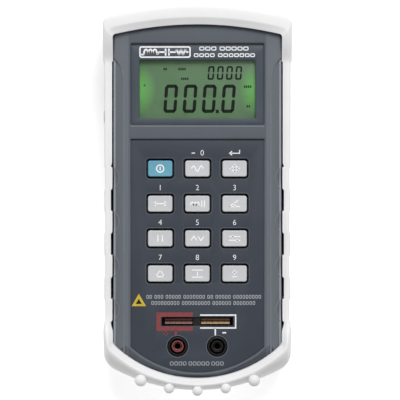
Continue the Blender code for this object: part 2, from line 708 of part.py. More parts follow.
def add_dc_jack(looks):
    """The adaptor inlet on the left side."""
    block = box(-36.9, -25.0, DC_Y - 4.5, DC_Y + 4.5, 27.5, BOARD[0] - GAP)
    body = solid_object("dc_jack_body", [block], looks["black"])
    join(body, "dc_nose", [lying_along_x(stacked([(DC_RADIUS, 0), (DC_RADIUS, 9.0)]), -45.5, DC_Y, DC_Z)])
    cut(body, "dc_bore", [lying_along_x(stacked([(2.75, -2), (2.75, 14.5)]), -45.5, DC_Y, DC_Z)])
    pin = stacked([(0.6, -13.3), (1.0, -12.7), (1.0, -0.4)], steps=12)
    solid_object("dc_jack_pin", [lying_along_x(pin, -30.9, DC_Y, DC_Z)], looks["steel"])


# ---------------------------------------------------------------- the board and what is on it


def add_board(looks):
    outline = [(-36, -60), (-24, -76), (24, -76), (36, -60), (36, 76), (-36, 76)]
    board = solid_object("main_board", [prism(outline, *BOARD)], looks["board"])
    low, high = BOARD[0] - 1, BOARD[1] + 1
    holes = [prism(circle(x, y, 3.7, 16), low, high) for x, y in CASE_SCREWS]
    holes += [prism(circle(x, y, 1.5, 12), low, high) for x, y in BOARD_SCREWS]
    holes += [prism(circle(s * JACK_X, JACK_Y, 2.8, 16), low, high) for s in (-1, 1)]
    cut(board, "board_holes", holes)
    for number, (x, y) in enumerate(BOARD_SCREWS, 1):
        add_board_screw(f"board_screw_{number}", x, y, looks["steel"])
    under = BOARD[0] - GAP
    solid_object("processor_chip", [box(-19, -5, 46, 60, under - 2.2, under)], looks["black"])
    solid_object("analog_chip", [box(3, 15, -26, -14, under - 2.0, under)], looks["black"])
    can = prism(rounded(4.0, 50.0, 11.0, 4.4, 2.2, 4), under - 3.6, under)
    solid_object("crystal_can", [can], looks["steel"])
    sounder = stacked([(6.8, 28.4), (7.2, 28.9), (7.2, under)], 20.0, 52.0, 24)
    buzzer = solid_object("buzzer", [sounder], looks["black"])
    cut(buzzer, "buzzer_hole", [stacked([(1.2, 27), (1.2, 30)], 20.0, 52.0, 12)])


def add_board_screw(name, x, y, look):
    under = BOARD[0] - GAP
    profile = [(2.0, under - 1.6), (2.4, under - 1.0), (2.4, under), (1.1, under), (0.7, 41.4)]
    solid_object(name, [stacked(profile, x, y, 12)], look)


def add_fuse(looks):
    """The input fuse across two spring clips under the board."""
    y, z = -36.0, 30.9
    half_barrel = [(2.3, -10.0), (2.6, -9.7), (2.6, -5.0), (2.35, -5.0)]
    barrel = half_barrel + [(radius, -end) for radius, end in reversed(half_barrel)]
    solid_object("fuse", [lying_along_x(stacked(barrel), 0, y, z)], looks["fuse"])
    under = BOARD[0] - GAP
    outer = arc(y, z, 3.4, -50, 60, 6) + [(y + 1.2, under), (y - 1.2, under)]
    outer += arc(y, z, 3.4, 120, 230, 6)
    inner = arc(y, z, 2.9, 230, -50, 14)
    for side, x in (("left", -9.4), ("right", 5.4)):
        solid_object(f"fuse_clip_{side}", [across(outer + inner, x, x + 4.0)], looks["steel"])


def add_battery(looks):
    x0, x1, y0, y1, z0, z1 = BATTERY
    middle_y, middle_z = (y0 + y1) / 2, (z0 + z1) / 2
    section = rounded(middle_y, middle_z, y1 - y0, z1 - z0, 2.0, 2)
    battery = solid_object("battery_9v", [across(section, x0, x1)], looks["battery"])
    studs = [(middle_y - 6.4, 2.9), (middle_y + 6.4, 3.3)]
    made = [lying_along_x(stacked([(r, -1.0), (r, 1.9)], steps=14), x1, y, middle_z) for y, r in studs]
    join(battery, "battery_studs", made)
    cap = box(x1 + GAP, x1 + 5.2, y0 + 0.6, y1 - 0.6, z0 + 1.6, z1 - 1.6)
    snap = solid_object("battery_snap", [cap], looks["rubber"])
    made = [stacked([(radius + 0.5, -1.0), (radius + 0.5, 2.4)], steps=14) for _, radius in studs]
    sockets = [
        lying_along_x(socket, x1, y, middle_z) for socket, (y, _) in zip(made, studs, strict=True)
    ]
    cut(snap, "snap_sockets", sockets)
    top, under = z1 - 1.6 + GAP, BOARD[0] - GAP
    red = [(24.2, -54.0, top), (24.4, -53.6, 25.6), (25.2, -51.5, 27.6), (26.4, -47.5, 28.6)]
    red += [(27.3, -43.0, 29.6), (27.6, -40.2, 31.6), (27.6, -39.4, under)]
    black = [(24.2, -65.0, top), (24.6, -64.6, 26.0), (26.2, -62.0, 28.2), (28.6, -57.5, 29.0)]
    black += [(30.2, -53.0, 29.8), (30.7, -50.4, 31.6), (30.8, -49.6, under)]
    add_lead("battery_lead_red", red, looks["red"])
    add_lead("battery_lead_black", black, looks["black"])


def smooth_route(points, steps):
    """Points along a Catmull-Rom curve through the given ones."""
    ends = [points[0], *points, points[-1]]
    route = []
    for k in range(1, len(ends) - 2):
        a, b, c, d = (Vector(ends[k + i]) for i in (-1, 0, 1, 2))
        for i in range(steps):
            t = i / steps
            second, third = 2 * a - 5 * b + 4 * c - d, 3 * (b - c) + d - a
            route.append(0.5 * (2 * b + (c - a) * t + second * t**2 + third * t**3))
    return [*route, Vector(points[-1])]


def add_lead(name, points, look):
    route = smooth_route(points, 2)
    curve = bpy.data.curves.new(name, "CURVE")
    curve.dimensions = "3D"
    curve.bevel_depth = 0.65 * MM
    curve.bevel_resolution = 1
    curve.use_fill_caps = True
    line = curve.splines.new("POLY")
    line.points.add(len(route) - 1)
    for point, place in zip(line.points, route, strict=True):
        point.co = (*(place * MM), 1.0)
    curve.materials.append(look)
    bpy.context.scene.collection.objects.link(bpy.data.objects.new(name, curve))


def add_rear_label(look):
    solid_object("rear_label", [prism(rounded(0, *LABEL, 1.5), 3.1, 3.6)], look)


def main():
    clear_scene()
    looks = {
        "boot": finish("boot_rubber", (236, 237, 240), 0.6),
        "case": finish("case_plastic", (96, 101, 107), 0.5),
        "panel": finish("panel_plastic", (80, 86, 92), 0.45),
        "overlay": finish("overlay_film", (75, 79, 85), 0.5),
        "lens": finish("lens_clear", (225, 232, 228), 0.08, alpha=0.3),
        "lcd": finish("lcd_glass_green", (98, 136, 96), 0.2),
        "backlight": finish("backlight_diffuser", (170, 205, 165), 0.4),
        "led": finish("led_resin", (215, 225, 190), 0.3),
        "key": finish("key_grey", (204, 206, 209), 0.5),
        "power_key": finish("key_blue", (103, 174, 196), 0.45),
        "stand": finish("stand_plastic", (88, 92, 98), 0.5),
        "black": finish("black_plastic", (30, 30, 32), 0.45),
        "red": finish("red_plastic", (140, 45, 42), 0.45),
        "rubber": finish("black_rubber", (38, 38, 40), 0.7),
        "mat": finish("silicone_mat", (150, 152, 154), 0.65),
        "board": finish("board_laminate", (28, 88, 52), 0.4),
        "copper": finish("contact_copper", (120, 78, 66), 0.35, 1.0),
        "brass": finish("contact_brass", (190, 140, 75), 0.3, 1.0),
        "steel": finish("plated_steel", (180, 182, 184), 0.3, 1.0),
        "fuse": finish("fuse_glass", (205, 208, 205), 0.15),
        "battery": finish("battery_can", (70, 76, 84), 0.35),
        "label": finish("label_film", (190, 193, 196), 0.5),
    }
    add_boot(looks["boot"])
    add_front_case(looks["case"])
    add_rear_case(looks["case"])
    add_battery_door(looks["case"], looks["steel"])
    add_case_screws(looks["steel"])
    add_tilt_stand(looks["stand"])
    add_display(looks)
    add_overlay(looks["overlay"])
    add_keys(looks)
    add_keypad_mat(looks["mat"])
    add_slot(looks)
    add_jacks(looks)
    add_dc_jack(looks)
    add_board(looks)
    add_fuse(looks)
    add_battery(looks)
    add_rear_label(looks["label"])


main()
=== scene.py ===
"""The looks of a handheld LCR meter in its pale rubber boot.

The meter lies on its back. X runs across it, Y towards its display end and Z out of its face. Shapes are
worked out in millimetres and become metres in solid(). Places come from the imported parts.
"""

import json
import math
from collections import namedtuple

import bmesh
import bpy
from mathutils import Matrix, Vector


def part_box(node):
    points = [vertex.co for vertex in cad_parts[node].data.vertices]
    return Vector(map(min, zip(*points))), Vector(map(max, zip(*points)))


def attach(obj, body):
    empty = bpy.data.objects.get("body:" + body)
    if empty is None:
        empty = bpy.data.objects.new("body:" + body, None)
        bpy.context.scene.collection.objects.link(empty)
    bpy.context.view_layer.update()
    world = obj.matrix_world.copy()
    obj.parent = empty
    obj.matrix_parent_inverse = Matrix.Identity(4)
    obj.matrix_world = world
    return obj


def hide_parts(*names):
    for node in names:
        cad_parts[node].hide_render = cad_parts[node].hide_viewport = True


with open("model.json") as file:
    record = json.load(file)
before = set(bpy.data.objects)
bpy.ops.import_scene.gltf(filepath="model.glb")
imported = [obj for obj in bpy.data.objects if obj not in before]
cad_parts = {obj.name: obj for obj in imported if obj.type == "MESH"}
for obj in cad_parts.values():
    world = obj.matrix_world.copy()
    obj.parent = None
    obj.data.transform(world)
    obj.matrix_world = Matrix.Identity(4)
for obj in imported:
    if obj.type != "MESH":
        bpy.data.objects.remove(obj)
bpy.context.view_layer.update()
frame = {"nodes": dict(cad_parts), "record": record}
MM = 0.001
Span = namedtuple("Span", "x0 x1 y0 y1 z0 z1")


def span(node):
    """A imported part's box in millimetres."""
    low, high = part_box(node)
    return Span(*(value / MM for pair in zip(low, high) for value in pair))


# Plan outlines: half the width and, for each end, its reach, the radius of its arc and that of its corners.
Shield = namedtuple("Shield", "half top bottom")
CASE = Shield(40.5, (85, 169, 1.5), (85.4, 58, 2.5))
BOOT_OUTSIDE = Shield(45.5, (94, 169, 4.5), (92.3, 86, 9))
BOOT_CREST = Shield(43.2, (88.1, 172, 3), (88.6, 61.2, 5))
BOOT_INSIDE = Shield(40.6, (85.12, 169.1, 1.6), (85.52, 58.1, 2.6))
BOOT_LIP = Shield(40.6, (84.3, 169.1, 1.6), (85.65, 58.1, 2.6))
BOOT_WINDOW = Shield(37.5, (80.5, 165, 5), (82, 62, 6))

# Heights above the boot's back.
BOOT_FLOOR = 2.7
CASE_BACK, CASE_TOP = span("rear_case")[4:]
CASE_SPLIT, FACE = span("front_case")[4:]
REAR_WALL, FRONT_WALL, WALL = 5.6, 43.3, 2.5
RECESS_FLOOR = 45.7
PLATE_TOP = span("display_panel").z1
PLATE_BACK = PLATE_TOP - 0.7
SIDE_CREST, TOP_CREST, BOTTOM_CREST = 46, 52.5, 51
SIDE_SHOULDER, TOP_SHOULDER, BOTTOM_SHOULDER = 43, 47, 33
LIP_DROPS = (0.5, 1.9, 2.8)  # from crest to lip at the sides, the top and the bottom
RIB_BALL_HEIGHT = 49.5
INLET = span("dc_jack_body")
INLET_PLACE = ((INLET.y0 + INLET.y1) / 2, 31.4)  # its Y and its height

# The boot's side walls and their finger grips.
SIDE_SETBACK, GRIP_SETBACK = 0.6, 1.05
UPPER_CLEARANCE, SIDE_CLEARANCE, GRIP_CLEARANCE = 0.5, 1.1, 0.35
GRIP_CENTRES = (10.5, -10.6, -31.9, -53.1)
GRIPS = [(y - 5.6, y + 5.6) for y in GRIP_CENTRES]
TOP_CAP_EDGE, BOTTOM_CAP_EDGE = 66.8, -64
RIBS = ((0, -91.5, 2.5), (13.6, -90.3, 2.5), (-13.6, -90.3, 2.5), (27.2, -86.5, 2.9), (-27.2, -86.5, 2.9))

# The face.
RIDGE, RIDGE_SWOOP_RADIUS, RIDGE_SWOOP_Y, FACET_END = 35.3, 13.6, 58, -78
FACET_SLOPE, CHIN_SLOPE = 0.42, 0.24
GRIP_CUT_RADIUS, GRIP_CUT_X = 14.5, 37.6
EDGE_BEAD_X = 39.75
PANEL_HALF = 32.05
DISPLAY_RECESS = (36.4, 75.4)
KEYPAD_RECESS = (-82.9, 29.4, 48)  # bottom, top and the radius of the round end
# Width, height and corner of a key's cap, its holes in the case and the film, and the rim round it.
CAP, CASE_HOLE, FILM_HOLE = (11.9, 7.9, 1.2), (13.3, 9.4, 1.5), (13.7, 9.8, 1.6)
RIM_INSIDE, RIM_OUTSIDE = (13.9, 10, 1.7), (14.5, 10.6, 2)
LCD_WINDOW = (-27.9, 27.9, 39.3, 67.5)
LCD_SEAT, LCD_OPENING = 44.3, 44.8
DIGIT_SLANT = 0.075
SLOT = (-17.3, 17.3, -60.55, -56.25)
SLOT_DIVIDER = (-2, 1.5)
LEAF_FINGERS, LEAF_GAP = 5, 0.06
JACK_HOLE = 4.95
SIDE_SHEEN_FROM = (32.6 * MM, 33.6 * MM)  # painted sheen: the face is paler from here out to its long edges
TOP_SHADOW_LINE = 0.85  # the open joint above the bezel and above the keypad film
INK = (PLATE_TOP - 0.03, PLATE_TOP + 0.06)
RIM = (PLATE_TOP - 0.1, PLATE_TOP + 0.12, 0.1)  # the embossed rims' lower and upper heights and their edge

# The back.
DOOR = (-28, 28, -73, -46)
DOOR_SCREW_Y = span("battery_door_screw").y0 + 2.5
DOOR_EAR = 4
STAND = (-26, 26, -34, 26.5)
STAND_WINDOW = (-16, 16, -23, 19)
STAND_LOW, STAND_HIGH = 3.3, 6.3
STAND_PIN_HEIGHT = (STAND_LOW + STAND_HIGH) / 2

# Light and camera.
FRAME_WIDTH = 192.4
SKY = (0.18, 0.78)  # its brightness towards the terminals and towards the display end
KEY_PLACE, KEY_SIZE, KEY_POWER = (100, 620, 1250), 0.6, 10.6  # in millimetres, metres and watts
FLOOR_GLOW = (0.2, 0.65)  # in the open and in the meter's shadow below its terminals
GLOW_RADIUS, GLOW_Y = 0.16, -0.1  # that shadow's, in metres


# Materials


def linear(colour):
    """An sRGB colour, 0 to 255 a channel, as scene-linear with a full alpha."""
    shares = [level / 255 for level in colour]
    return (*(s / 12.92 if s <= 0.04045 else ((s + 0.055) / 1.055) ** 2.4 for s in shares), 1)


def paler(colour, share):
    return linear([level + (255 - level) * share for level in colour])


class Graph:
    """The nodes of a material or of the sky. Places are in metres and the object's own."""

    def __init__(self, owner, shader="Principled BSDF", place="Object"):
        owner.use_nodes = True
        self.tree = owner.node_tree
        self.shader = self.tree.nodes[shader]
        self.place = self.add("ShaderNodeTexCoord").outputs[place]

    def add(self, kind, inputs=None, **settings):
        node = self.tree.nodes.new(kind)
        for key, value in settings.items():
            setattr(node, key, value)
        return self.feed(node, inputs or {})

    def feed(self, node, inputs):
        for key, value in inputs.items():
            if isinstance(value, bpy.types.NodeSocket):
                self.tree.links.new(value, node.inputs[key])
            else:
                node.inputs[key].default_value = value
        return node

    def set(self, **sockets):
        """Feeds the shader. An underscore in a name stands for a space."""
        self.feed(self.shader, {key.replace("_", " "): value for key, value in sockets.items()})

    def mapped(self, place, scale, shift=(0, 0, 0)):
        inputs = {"Vector": place, "Location": shift, "Scale": scale}
        return self.add("ShaderNodeMapping", inputs).outputs[0]

    def noise(self, size, detail=2, stretch=(1, 1, 1)):
        """Noise between 0 and 1 whose features are about size millimetres."""
        inputs = {"Vector": self.mapped(self.place, stretch), "Scale": 1 / (size * MM), "Detail": detail}
        return self.add("ShaderNodeTexNoise", inputs).outputs[0]

    def ranged(self, value, low, high, to_low=0, to_high=1):
        inputs = {0: value, 1: low, 2: high, 3: to_low, 4: to_high}
        return self.add("ShaderNodeMapRange", inputs).outputs[0]

    def maths(self, operation, first, second=0):
        return self.add("ShaderNodeMath", {0: first, 1: second}, operation=operation).outputs[0]

    def mix(self, share, first, second):
        inputs = {0: share, 6: first, 7: second}
        return self.add("ShaderNodeMix", inputs, data_type="RGBA").outputs[2]

    def across_and_along(self):
        """How far a point is from the middle line, and its Y."""
        parts = self.add("ShaderNodeSeparateXYZ", {0: self.place}).outputs
        return self.maths("ABSOLUTE", parts[0]), parts[1]

    def spot(self, place, middle, reach):
        """1 at the middle, falling to 0 at its reach along X and along Y."""
        shift = [-at / size for at, size in zip(middle, reach)]
        place = self.mapped(place, (1 / reach[0], 1 / reach[1], 0), (*shift, 0))
        return self.add("ShaderNodeTexGradient", {0: place}, gradient_type="SPHERICAL").outputs[1]

    def edges(self, width):
        """Near 1 along convex and concave edges and 0 on flat ground."""
        rounded_normal = self.add("ShaderNodeBevel", {"Radius": width * MM}, samples=6).outputs[0]
        normal = self.add("ShaderNodeNewGeometry").outputs["Normal"]
        inputs = {0: rounded_normal, 1: normal}
        agree = self.add("ShaderNodeVectorMath", inputs, operation="DOT_PRODUCT").outputs["Value"]
        return self.ranged(agree, 0.995, 0.9)

    def crevices(self, reach):
        """Near 1 in narrow places and 0 in the open."""
        share = self.add("ShaderNodeAmbientOcclusion", {"Distance": reach * MM}, samples=6).outputs["AO"]
        return self.ranged(share, 0.7, 0.1)


def material(name, colour, roughness, *, drift=0.03, patch=18, grain=0, grain_size=0.35,
             stretch=(1, 1, 1), edge=0, dirt=0, rubbed=0, **sockets):
    """A finish whose colour and gloss drift across it, with a grain, edges painted paler as wear and
    highlight, a painted sheen at the sides and crevices painted darker as dirt and shade.
    """
    look = bpy.data.materials.new(name)
    graph = Graph(look)
    patches = graph.noise(patch, 4, stretch)
    fine = graph.noise(grain_size, 2, stretch)
    dark, light = (linear([min(255, level * k) for level in colour]) for k in (1 - drift, 1 + drift))
    shade = graph.mix(graph.ranged(patches, 0.3, 0.7), dark, light)
    speck = linear([min(255, level * (1 + 2 * drift) + 4) for level in colour])
    shade = graph.mix(graph.ranged(fine, 0.55, 0.8, 0, 0.35), shade, speck)
    # Painted sheen: the face is paler out towards its long edges.
    if rubbed:
        across, _ = graph.across_and_along()
        shade = graph.mix(graph.ranged(across, *SIDE_SHEEN_FROM), shade, paler(colour, rubbed))
    # Edges painted paler, partly as wear and partly as a painted highlight.
    if edge:
        worn_and_lit_edges = graph.maths("MULTIPLY", graph.edges(0.35), graph.ranged(patches, 0.35, 0.6, 0.55, 1))
        shade = graph.mix(graph.maths("MULTIPLY", worn_and_lit_edges, edge), shade, paler(colour, 0.3))
    # Crevices painted darker, partly as dirt and partly as painted shade.
    if dirt:
        dirt_and_shade_colour = linear([level * 0.45 for level in colour])
        shade = graph.mix(graph.maths("MULTIPLY", graph.crevices(2.5), dirt), shade, dirt_and_shade_colour)
    gloss = graph.ranged(patches, 0.25, 0.75, max(roughness - 0.07, 0.02), roughness + 0.08)
    if grain:
        inputs = {"Strength": grain, "Distance": 0.05 * MM, "Height": fine}
        sockets["Normal"] = graph.add("ShaderNodeBump", inputs).outputs[0]
    graph.set(Base_Color=shade, Roughness=gloss, **sockets)
    return look


def lcd_material():
    """Green LCD glass, lit from an LED at each side."""
    look = bpy.data.materials.new("lcd_green")
    graph = Graph(look)
    _, x1, y0, y1 = LCD_WINDOW
    across, along = graph.across_and_along()
    place = graph.add("ShaderNodeCombineXYZ", {0: across, 1: along}).outputs[0]
    led = ((x1 + 1) * MM, (y0 + y1) / 2 * MM)
    glow = graph.ranged(graph.spot(place, led, (9 * MM, 13 * MM)), 0, 0.75)
    cloud = graph.noise(9)
    base = graph.mix(graph.ranged(cloud, 0.3, 0.7), linear((90, 120, 88)), linear((96, 127, 94)))
    shade = graph.mix(glow, base, linear((108, 177, 95)))
    gloss = graph.ranged(cloud, 0.3, 0.7, 0.24, 0.36)
    graph.set(Base_Color=shade, Emission_Color=shade, Emission_Strength=0.2, Roughness=gloss, **DULL)
    return look


DULL = {"Specular_IOR_Level": 0.15}
METAL = {"Metallic": 1, "patch": 3}
FINISHES = {  # colour, roughness and the rest of what material() takes
    "boot_rubber": ((237, 237, 238), 0.62, dict(drift=0.012, grain=0.25, grain_size=0.5, dirt=0.25)),
    "case_plastic": ((90, 95, 103), 0.5, dict(grain=0.5, edge=0.5, dirt=0.6, rubbed=0.1, **DULL)),
    # Lighter colours for the fine beads: painted highlight lines along the case's edges and ridges.
    "case_edge_highlight": ((116, 121, 129), 0.34, DULL),
    "recess_edge_highlight": ((104, 109, 117), 0.34, DULL),
    "case_outer_edge_highlight": ((152, 157, 164), 0.4, DULL),
    "panel_print": ((72, 79, 87), 0.36, dict(grain=0.12, grain_size=0.2, edge=0.5, **DULL)),
    "overlay_print": ((64, 69, 78), 0.42, dict(grain=0.3, grain_size=0.2, edge=0.5, **DULL)),
    # A lighter colour for the embossed rims: a painted highlight round the key and socket holes.
    "embossed_rim_highlight": ((96, 101, 109), 0.36, dict(drift=0.04, grain=0.1, **DULL)),
    "key_grey": ((199, 200, 203), 0.5, dict(drift=0.015, grain=0.15, edge=0.35, dirt=0.3)),
    "key_blue": ((94, 161, 184), 0.46, dict(grain=0.15, edge=0.45, dirt=0.3)),
    "lens_clear": ((34, 40, 36), 0.12, dict(drift=0.01, Alpha=0.05, Specular_IOR_Level=0.3)),
    "lcd_digits": ((5, 17, 8), 0.4, dict(drift=0.1, **DULL)),
    "ink_white": ((240, 241, 243), 0.5, dict(patch=2)),
    "ink_grey": ((158, 162, 167), 0.5, dict(drift=0.05, patch=1.5)),
    "ink_on_keys": ((246, 246, 244), 0.5, dict(drift=0.02, patch=2)),
    "ink_red": ((136, 68, 70), 0.5, dict(drift=0.06, patch=1.5, **DULL)),
    "ink_yellow": ((204, 178, 60), 0.5, dict(drift=0.05, patch=2, **DULL)),
    "black_plastic": ((30, 30, 32), 0.42, dict(drift=0.12, grain=0.3, edge=0.25, **DULL)),
    "red_plastic": ((142, 74, 70), 0.4, dict(drift=0.06, grain=0.2, edge=0.2, **DULL)),
    "contact_copper": ((108, 82, 76), 0.5, dict(drift=0.12, stretch=(0.15, 1, 1), **METAL)),
    "contact_brass": ((132, 108, 84), 0.45, dict(drift=0.08, stretch=(0.15, 1, 1), **METAL)),
    # Darker copies of the cups' brass: painted shade down in the two sockets.
    "contact_brass_half_shaded": ((118, 82, 76), 0.5, dict(drift=0.1, **METAL)),
    "contact_brass_deep_shaded": ((60, 52, 50), 0.5, dict(drift=0.1, **METAL)),
    "plated_steel": ((186, 188, 190), 0.3, dict(METAL, drift=0.05, patch=4, grain=0.2, edge=0.3)),
    "stand_plastic": ((84, 88, 94), 0.52, dict(grain=0.5, edge=0.5, dirt=0.3)),
    "label_film": ((190, 193, 196), 0.4, dict(drift=0.02, grain=0.1, grain_size=1.2)),
    "black_rubber": ((36, 36, 38), 0.68, dict(drift=0.1, grain=0.35)),
    "silicone_mat": ((150, 152, 154), 0.6, dict(grain=0.2)),
    "board_laminate": ((26, 84, 50), 0.35, dict(drift=0.08, patch=6, grain=0.3, grain_size=0.6)),
    "backlight_diffuser": ((170, 205, 165), 0.35, dict(grain=0.2, grain_size=0.8)),
    "led_resin": ((215, 225, 190), 0.25, dict(drift=0.04)),
    "fuse_glass": ((205, 208, 205), 0.12, dict(drift=0.05, Alpha=0.5)),
    "battery_can": ((66, 72, 80), 0.32, dict(drift=0.06, stretch=(0.1, 1, 1), edge=0.4)),
}
LOOKS = {name: material(name, colour, rough, **rest) for name, (colour, rough, rest) in FINISHES.items()}
LOOKS["lcd_green"] = lcd_material()


# Outlines, as (x, y) in millimetres


def arc(x, y, radius, start, end, steps):
    """Points on an arc from start to end degrees, both ends included."""
    angles = [math.radians(start + (end - start) * i / steps) for i in range(steps + 1)]
    return [(x + radius * math.cos(a), y + radius * math.sin(a)) for a in angles]


def circle(x, y, radius, steps=48):
    return arc(x, y, radius, 0, 360, steps)[:-1]


def disc(x, y, radius):
    """A circle as a function of how far it is moved in."""
    return lambda inset: circle(x, y, radius - inset)


def rounded(x, y, width, height, corner, steps=8):
    across, along = width / 2 - corner, height / 2 - corner
    outline = []
    for i, (sx, sy) in enumerate(((1, 1), (-1, 1), (-1, -1), (1, -1))):
        outline += arc(x + sx * across, y + sy * along, corner, 90 * i, 90 * i + 90, steps)
    return outline


def plate(x0, x1, y0, y1, corner, steps=8):
    """A rectangle with round corners as a function of how far it is moved in."""
    x, y, width, height = (x0 + x1) / 2, (y0 + y1) / 2, x1 - x0, y1 - y0
    return lambda i: rounded(x, y, width - 2 * i, height - 2 * i, max(corner - i, 0.02), steps)


def widened(limits, by):
    """A rectangle's x0, x1, y0 and y1, each moved out."""
    return limits[0] - by, limits[1] + by, limits[2] - by, limits[3] + by


def middle(node):
    """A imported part's middle in plan."""
    part = span(node)
    return (part.x0 + part.x1) / 2, (part.y0 + part.y1) / 2


def about(node, width, height, corner):
    """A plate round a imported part's middle."""
    (x, y), a, b = middle(node), width / 2, height / 2
    return plate(x - a, x + a, y - b, y + b, corner)


def symmetric(half):
    """A closed outline from the half on one side of the Y axis."""
    return half + [(-x, y) for x, y in reversed(half)]


def end_quarter(half, apex, radius, corner):
    """From the middle of an end arc, round its corner, to where the straight side starts."""
    centre, corner_x = apex - radius, half - corner
    corner_y = centre + math.sqrt((radius - corner) ** 2 - corner_x**2)
    start = math.degrees(math.atan2(corner_y - centre, corner_x))
    return arc(0, centre, radius, 90, start, 26) + arc(corner_x, corner_y, corner, start, 0, 9)[1:]


def shield_outline(shield, inset=0, stations=()):
    """A shield's outline moved in by inset, anticlockwise. Stations are extra places down each side."""
    half = shield.half - inset
    top, bottom = (
        end_quarter(half, reach - inset, radius - inset, max(corner - inset, 0.3))
        for reach, radius, corner in (shield.top, shield.bottom)
    )
    right = top + [(half, y) for y in stations] + [(x, -y) for x, y in reversed(bottom)]
    left = [(-x, y) for x, y in reversed(right[1:-1])]
    return list(reversed(right + left))


def keypad_outline(inset=0, lower_top=0):
    bottom, top, radius = KEYPAD_RECESS
    top -= lower_top
    half, reach = PANEL_HALF - inset, radius - inset
    angle = math.degrees(math.acos(half / reach))
    lower = arc(0, bottom + radius, reach, 180 + angle, 360 - angle, 40)
    return [*lower, (half, top - inset), (-half, top - inset)]


def smoothed(points, steps):
    """Points along a Catmull-Rom curve through the given ones."""
    ends = [Vector(points[0]), *(Vector(p) for p in points), Vector(points[-1])]
    line = []
    for k in range(1, len(ends) - 2):
        a, b, c, d = ends[k - 1 : k + 3]
        second, third = 2 * a - 5 * b + 4 * c - d, 3 * (b - c) + d - a
        for i in range(steps):
            t = i / steps
            line.append(0.5 * (2 * b + (c - a) * t + second * t**2 + third * t**3))
    return [tuple(p) for p in [*line, ends[-1]]]


# Solids, as (points, faces)


def loft(rings, hollow=False):
    """Joins rings with the same number of points. A hollow loft joins its last ring to its first."""
    count = len(rings[0])
    points = [point for ring in rings for point in ring]
    pairs = [(k, k + 1) for k in range(len(rings) - 1)]
    if hollow:
        pairs.append((len(rings) - 1, 0))
        faces = []
    else:
        last = (len(rings) - 1) * count
        faces = [tuple(reversed(range(count))), tuple(range(last, last + count))]
    for low, high in pairs:
        for i in range(count):
            j = (i + 1) % count
            faces.append((low * count + i, low * count + j, high * count + j, high * count + i))
    return points, faces


def level(outline, z):
    return [(x, y, z) for x, y in outline]


def levels(outline, *steps):
    """An outline's rings at (inset, height) steps."""
    return [level(outline(inset), z) for inset, z in steps]


def prism(outline, low, high):
    return loft([level(outline, low), level(outline, high)])


def box(x0, x1, y0, y1, z0, z1):
    return prism([(x0, y0), (x1, y0), (x1, y1), (x0, y1)], z0, z1)


def quarter(radius, steps=4):
    """(inset, drop) pairs round a convex edge, from the flat face down to the wall."""
    angles = [math.pi / 2 * i / steps for i in range(steps + 1)]
    return [(radius * (1 - math.sin(a)), radius * (1 - math.cos(a))) for a in angles]


def rolled(high, edge, steps=4):
    """(inset, height) steps up a wall's upper edge and over it."""
    return [(inset, high - drop) for inset, drop in reversed(quarter(edge, steps))]


def soft(outline, low, high, top=0.3, base=0):
    """A slab with rounded edges."""
    foot = [(inset, low + drop) for inset, drop in quarter(base)] if base else [(0, low)]
    return loft(levels(outline, *foot, *(rolled(high, top) if top else [(0, high)])))


def flared(outline, low, high, flare=0.25, depth=None):
    """What is cut away for an opening whose upper rim is rounded, flare across and depth down."""
    squash = (depth or flare) / flare
    rim = [(-drop, high - inset * squash) for inset, drop in quarter(flare, 5)]
    return loft(levels(outline, (0, low), *rim, (-flare, high + 2)))


def frame_ring(outer, inner, low, high, edge=0.2):
    """A flat ring between two outlines, with its upper edges rounded."""
    outside = levels(outer, (0, low), *rolled(high, edge, 3))
    inside = levels(inner, *((-inset, high - drop) for inset, drop in quarter(edge, 3)), (0, low))
    return loft(outside + inside, hollow=True)


def border(outline, width, low, high, edge=0.02):
    """A flat line of even width just inside an outline."""
    return frame_ring(outline, lambda inset: outline(inset + width), low, high, edge)


def turned(profile, x=0, y=0, steps=48, hollow=False):
    """A solid of revolution about a vertical line, from (radius, height) pairs.

    The pairs run up its outer side or, for a hollow one, all the way round its section.
    """
    return loft([level(circle(x, y, r, steps), z) for r, z in profile], hollow)


def moved(solid, matrix):
    points, faces = solid
    return [tuple(matrix @ Vector(p)) for p in points], faces


def rod(profile, x, y, z, steps=48):
    """A solid of revolution about a line along X, from (radius, distance) pairs."""
    turn = Matrix.Rotation(math.radians(90), 4, "Y")
    return moved(turned(profile, steps=steps), Matrix.Translation((x, y, z)) @ turn)


def extruded_along_x(profile, x0, x1):
    points, faces = prism(profile, x0, x1)
    return [(z, x, y) for x, y, z in points], faces


def both_sides(solids):
    return solids + [([(-x, y, z) for x, y, z in points], faces) for points, faces in solids]


def stroke(points, width, low, high):
    """A flat line of even width along points, as a solid."""
    legs = [Vector((x1 - x0, y1 - y0)).normalized() for (x0, y0), (x1, y1) in zip(points, points[1:])]
    rings = []
    for i, (x, y) in enumerate(points):
        before, after = legs[max(i - 1, 0)], legs[min(i, len(legs) - 1)]
        along = (before + after).normalized()
        reach = width / 2 / max(along.dot(after), 0.5)
        dx, dy = -along.y * reach, along.x * reach
        left, right = (x + dx, y + dy), (x - dx, y - dy)
        rings.append([(*left, low), (*right, low), (*right, high), (*left, high)])
    return loft(rings)


# Objects


def linked(name, data):
    thing = bpy.data.objects.new(name, data)
    bpy.context.scene.collection.objects.link(thing)
    return thing


def dress(thing, look, sharp):
    """Gives a thing one finish, and smooth shading but for its sharp edges."""
    thing.data.materials.clear()
    thing.data.materials.append(look)
    thing.data.shade_smooth()
    thing.data.set_sharp_from_angle(angle=math.radians(sharp))


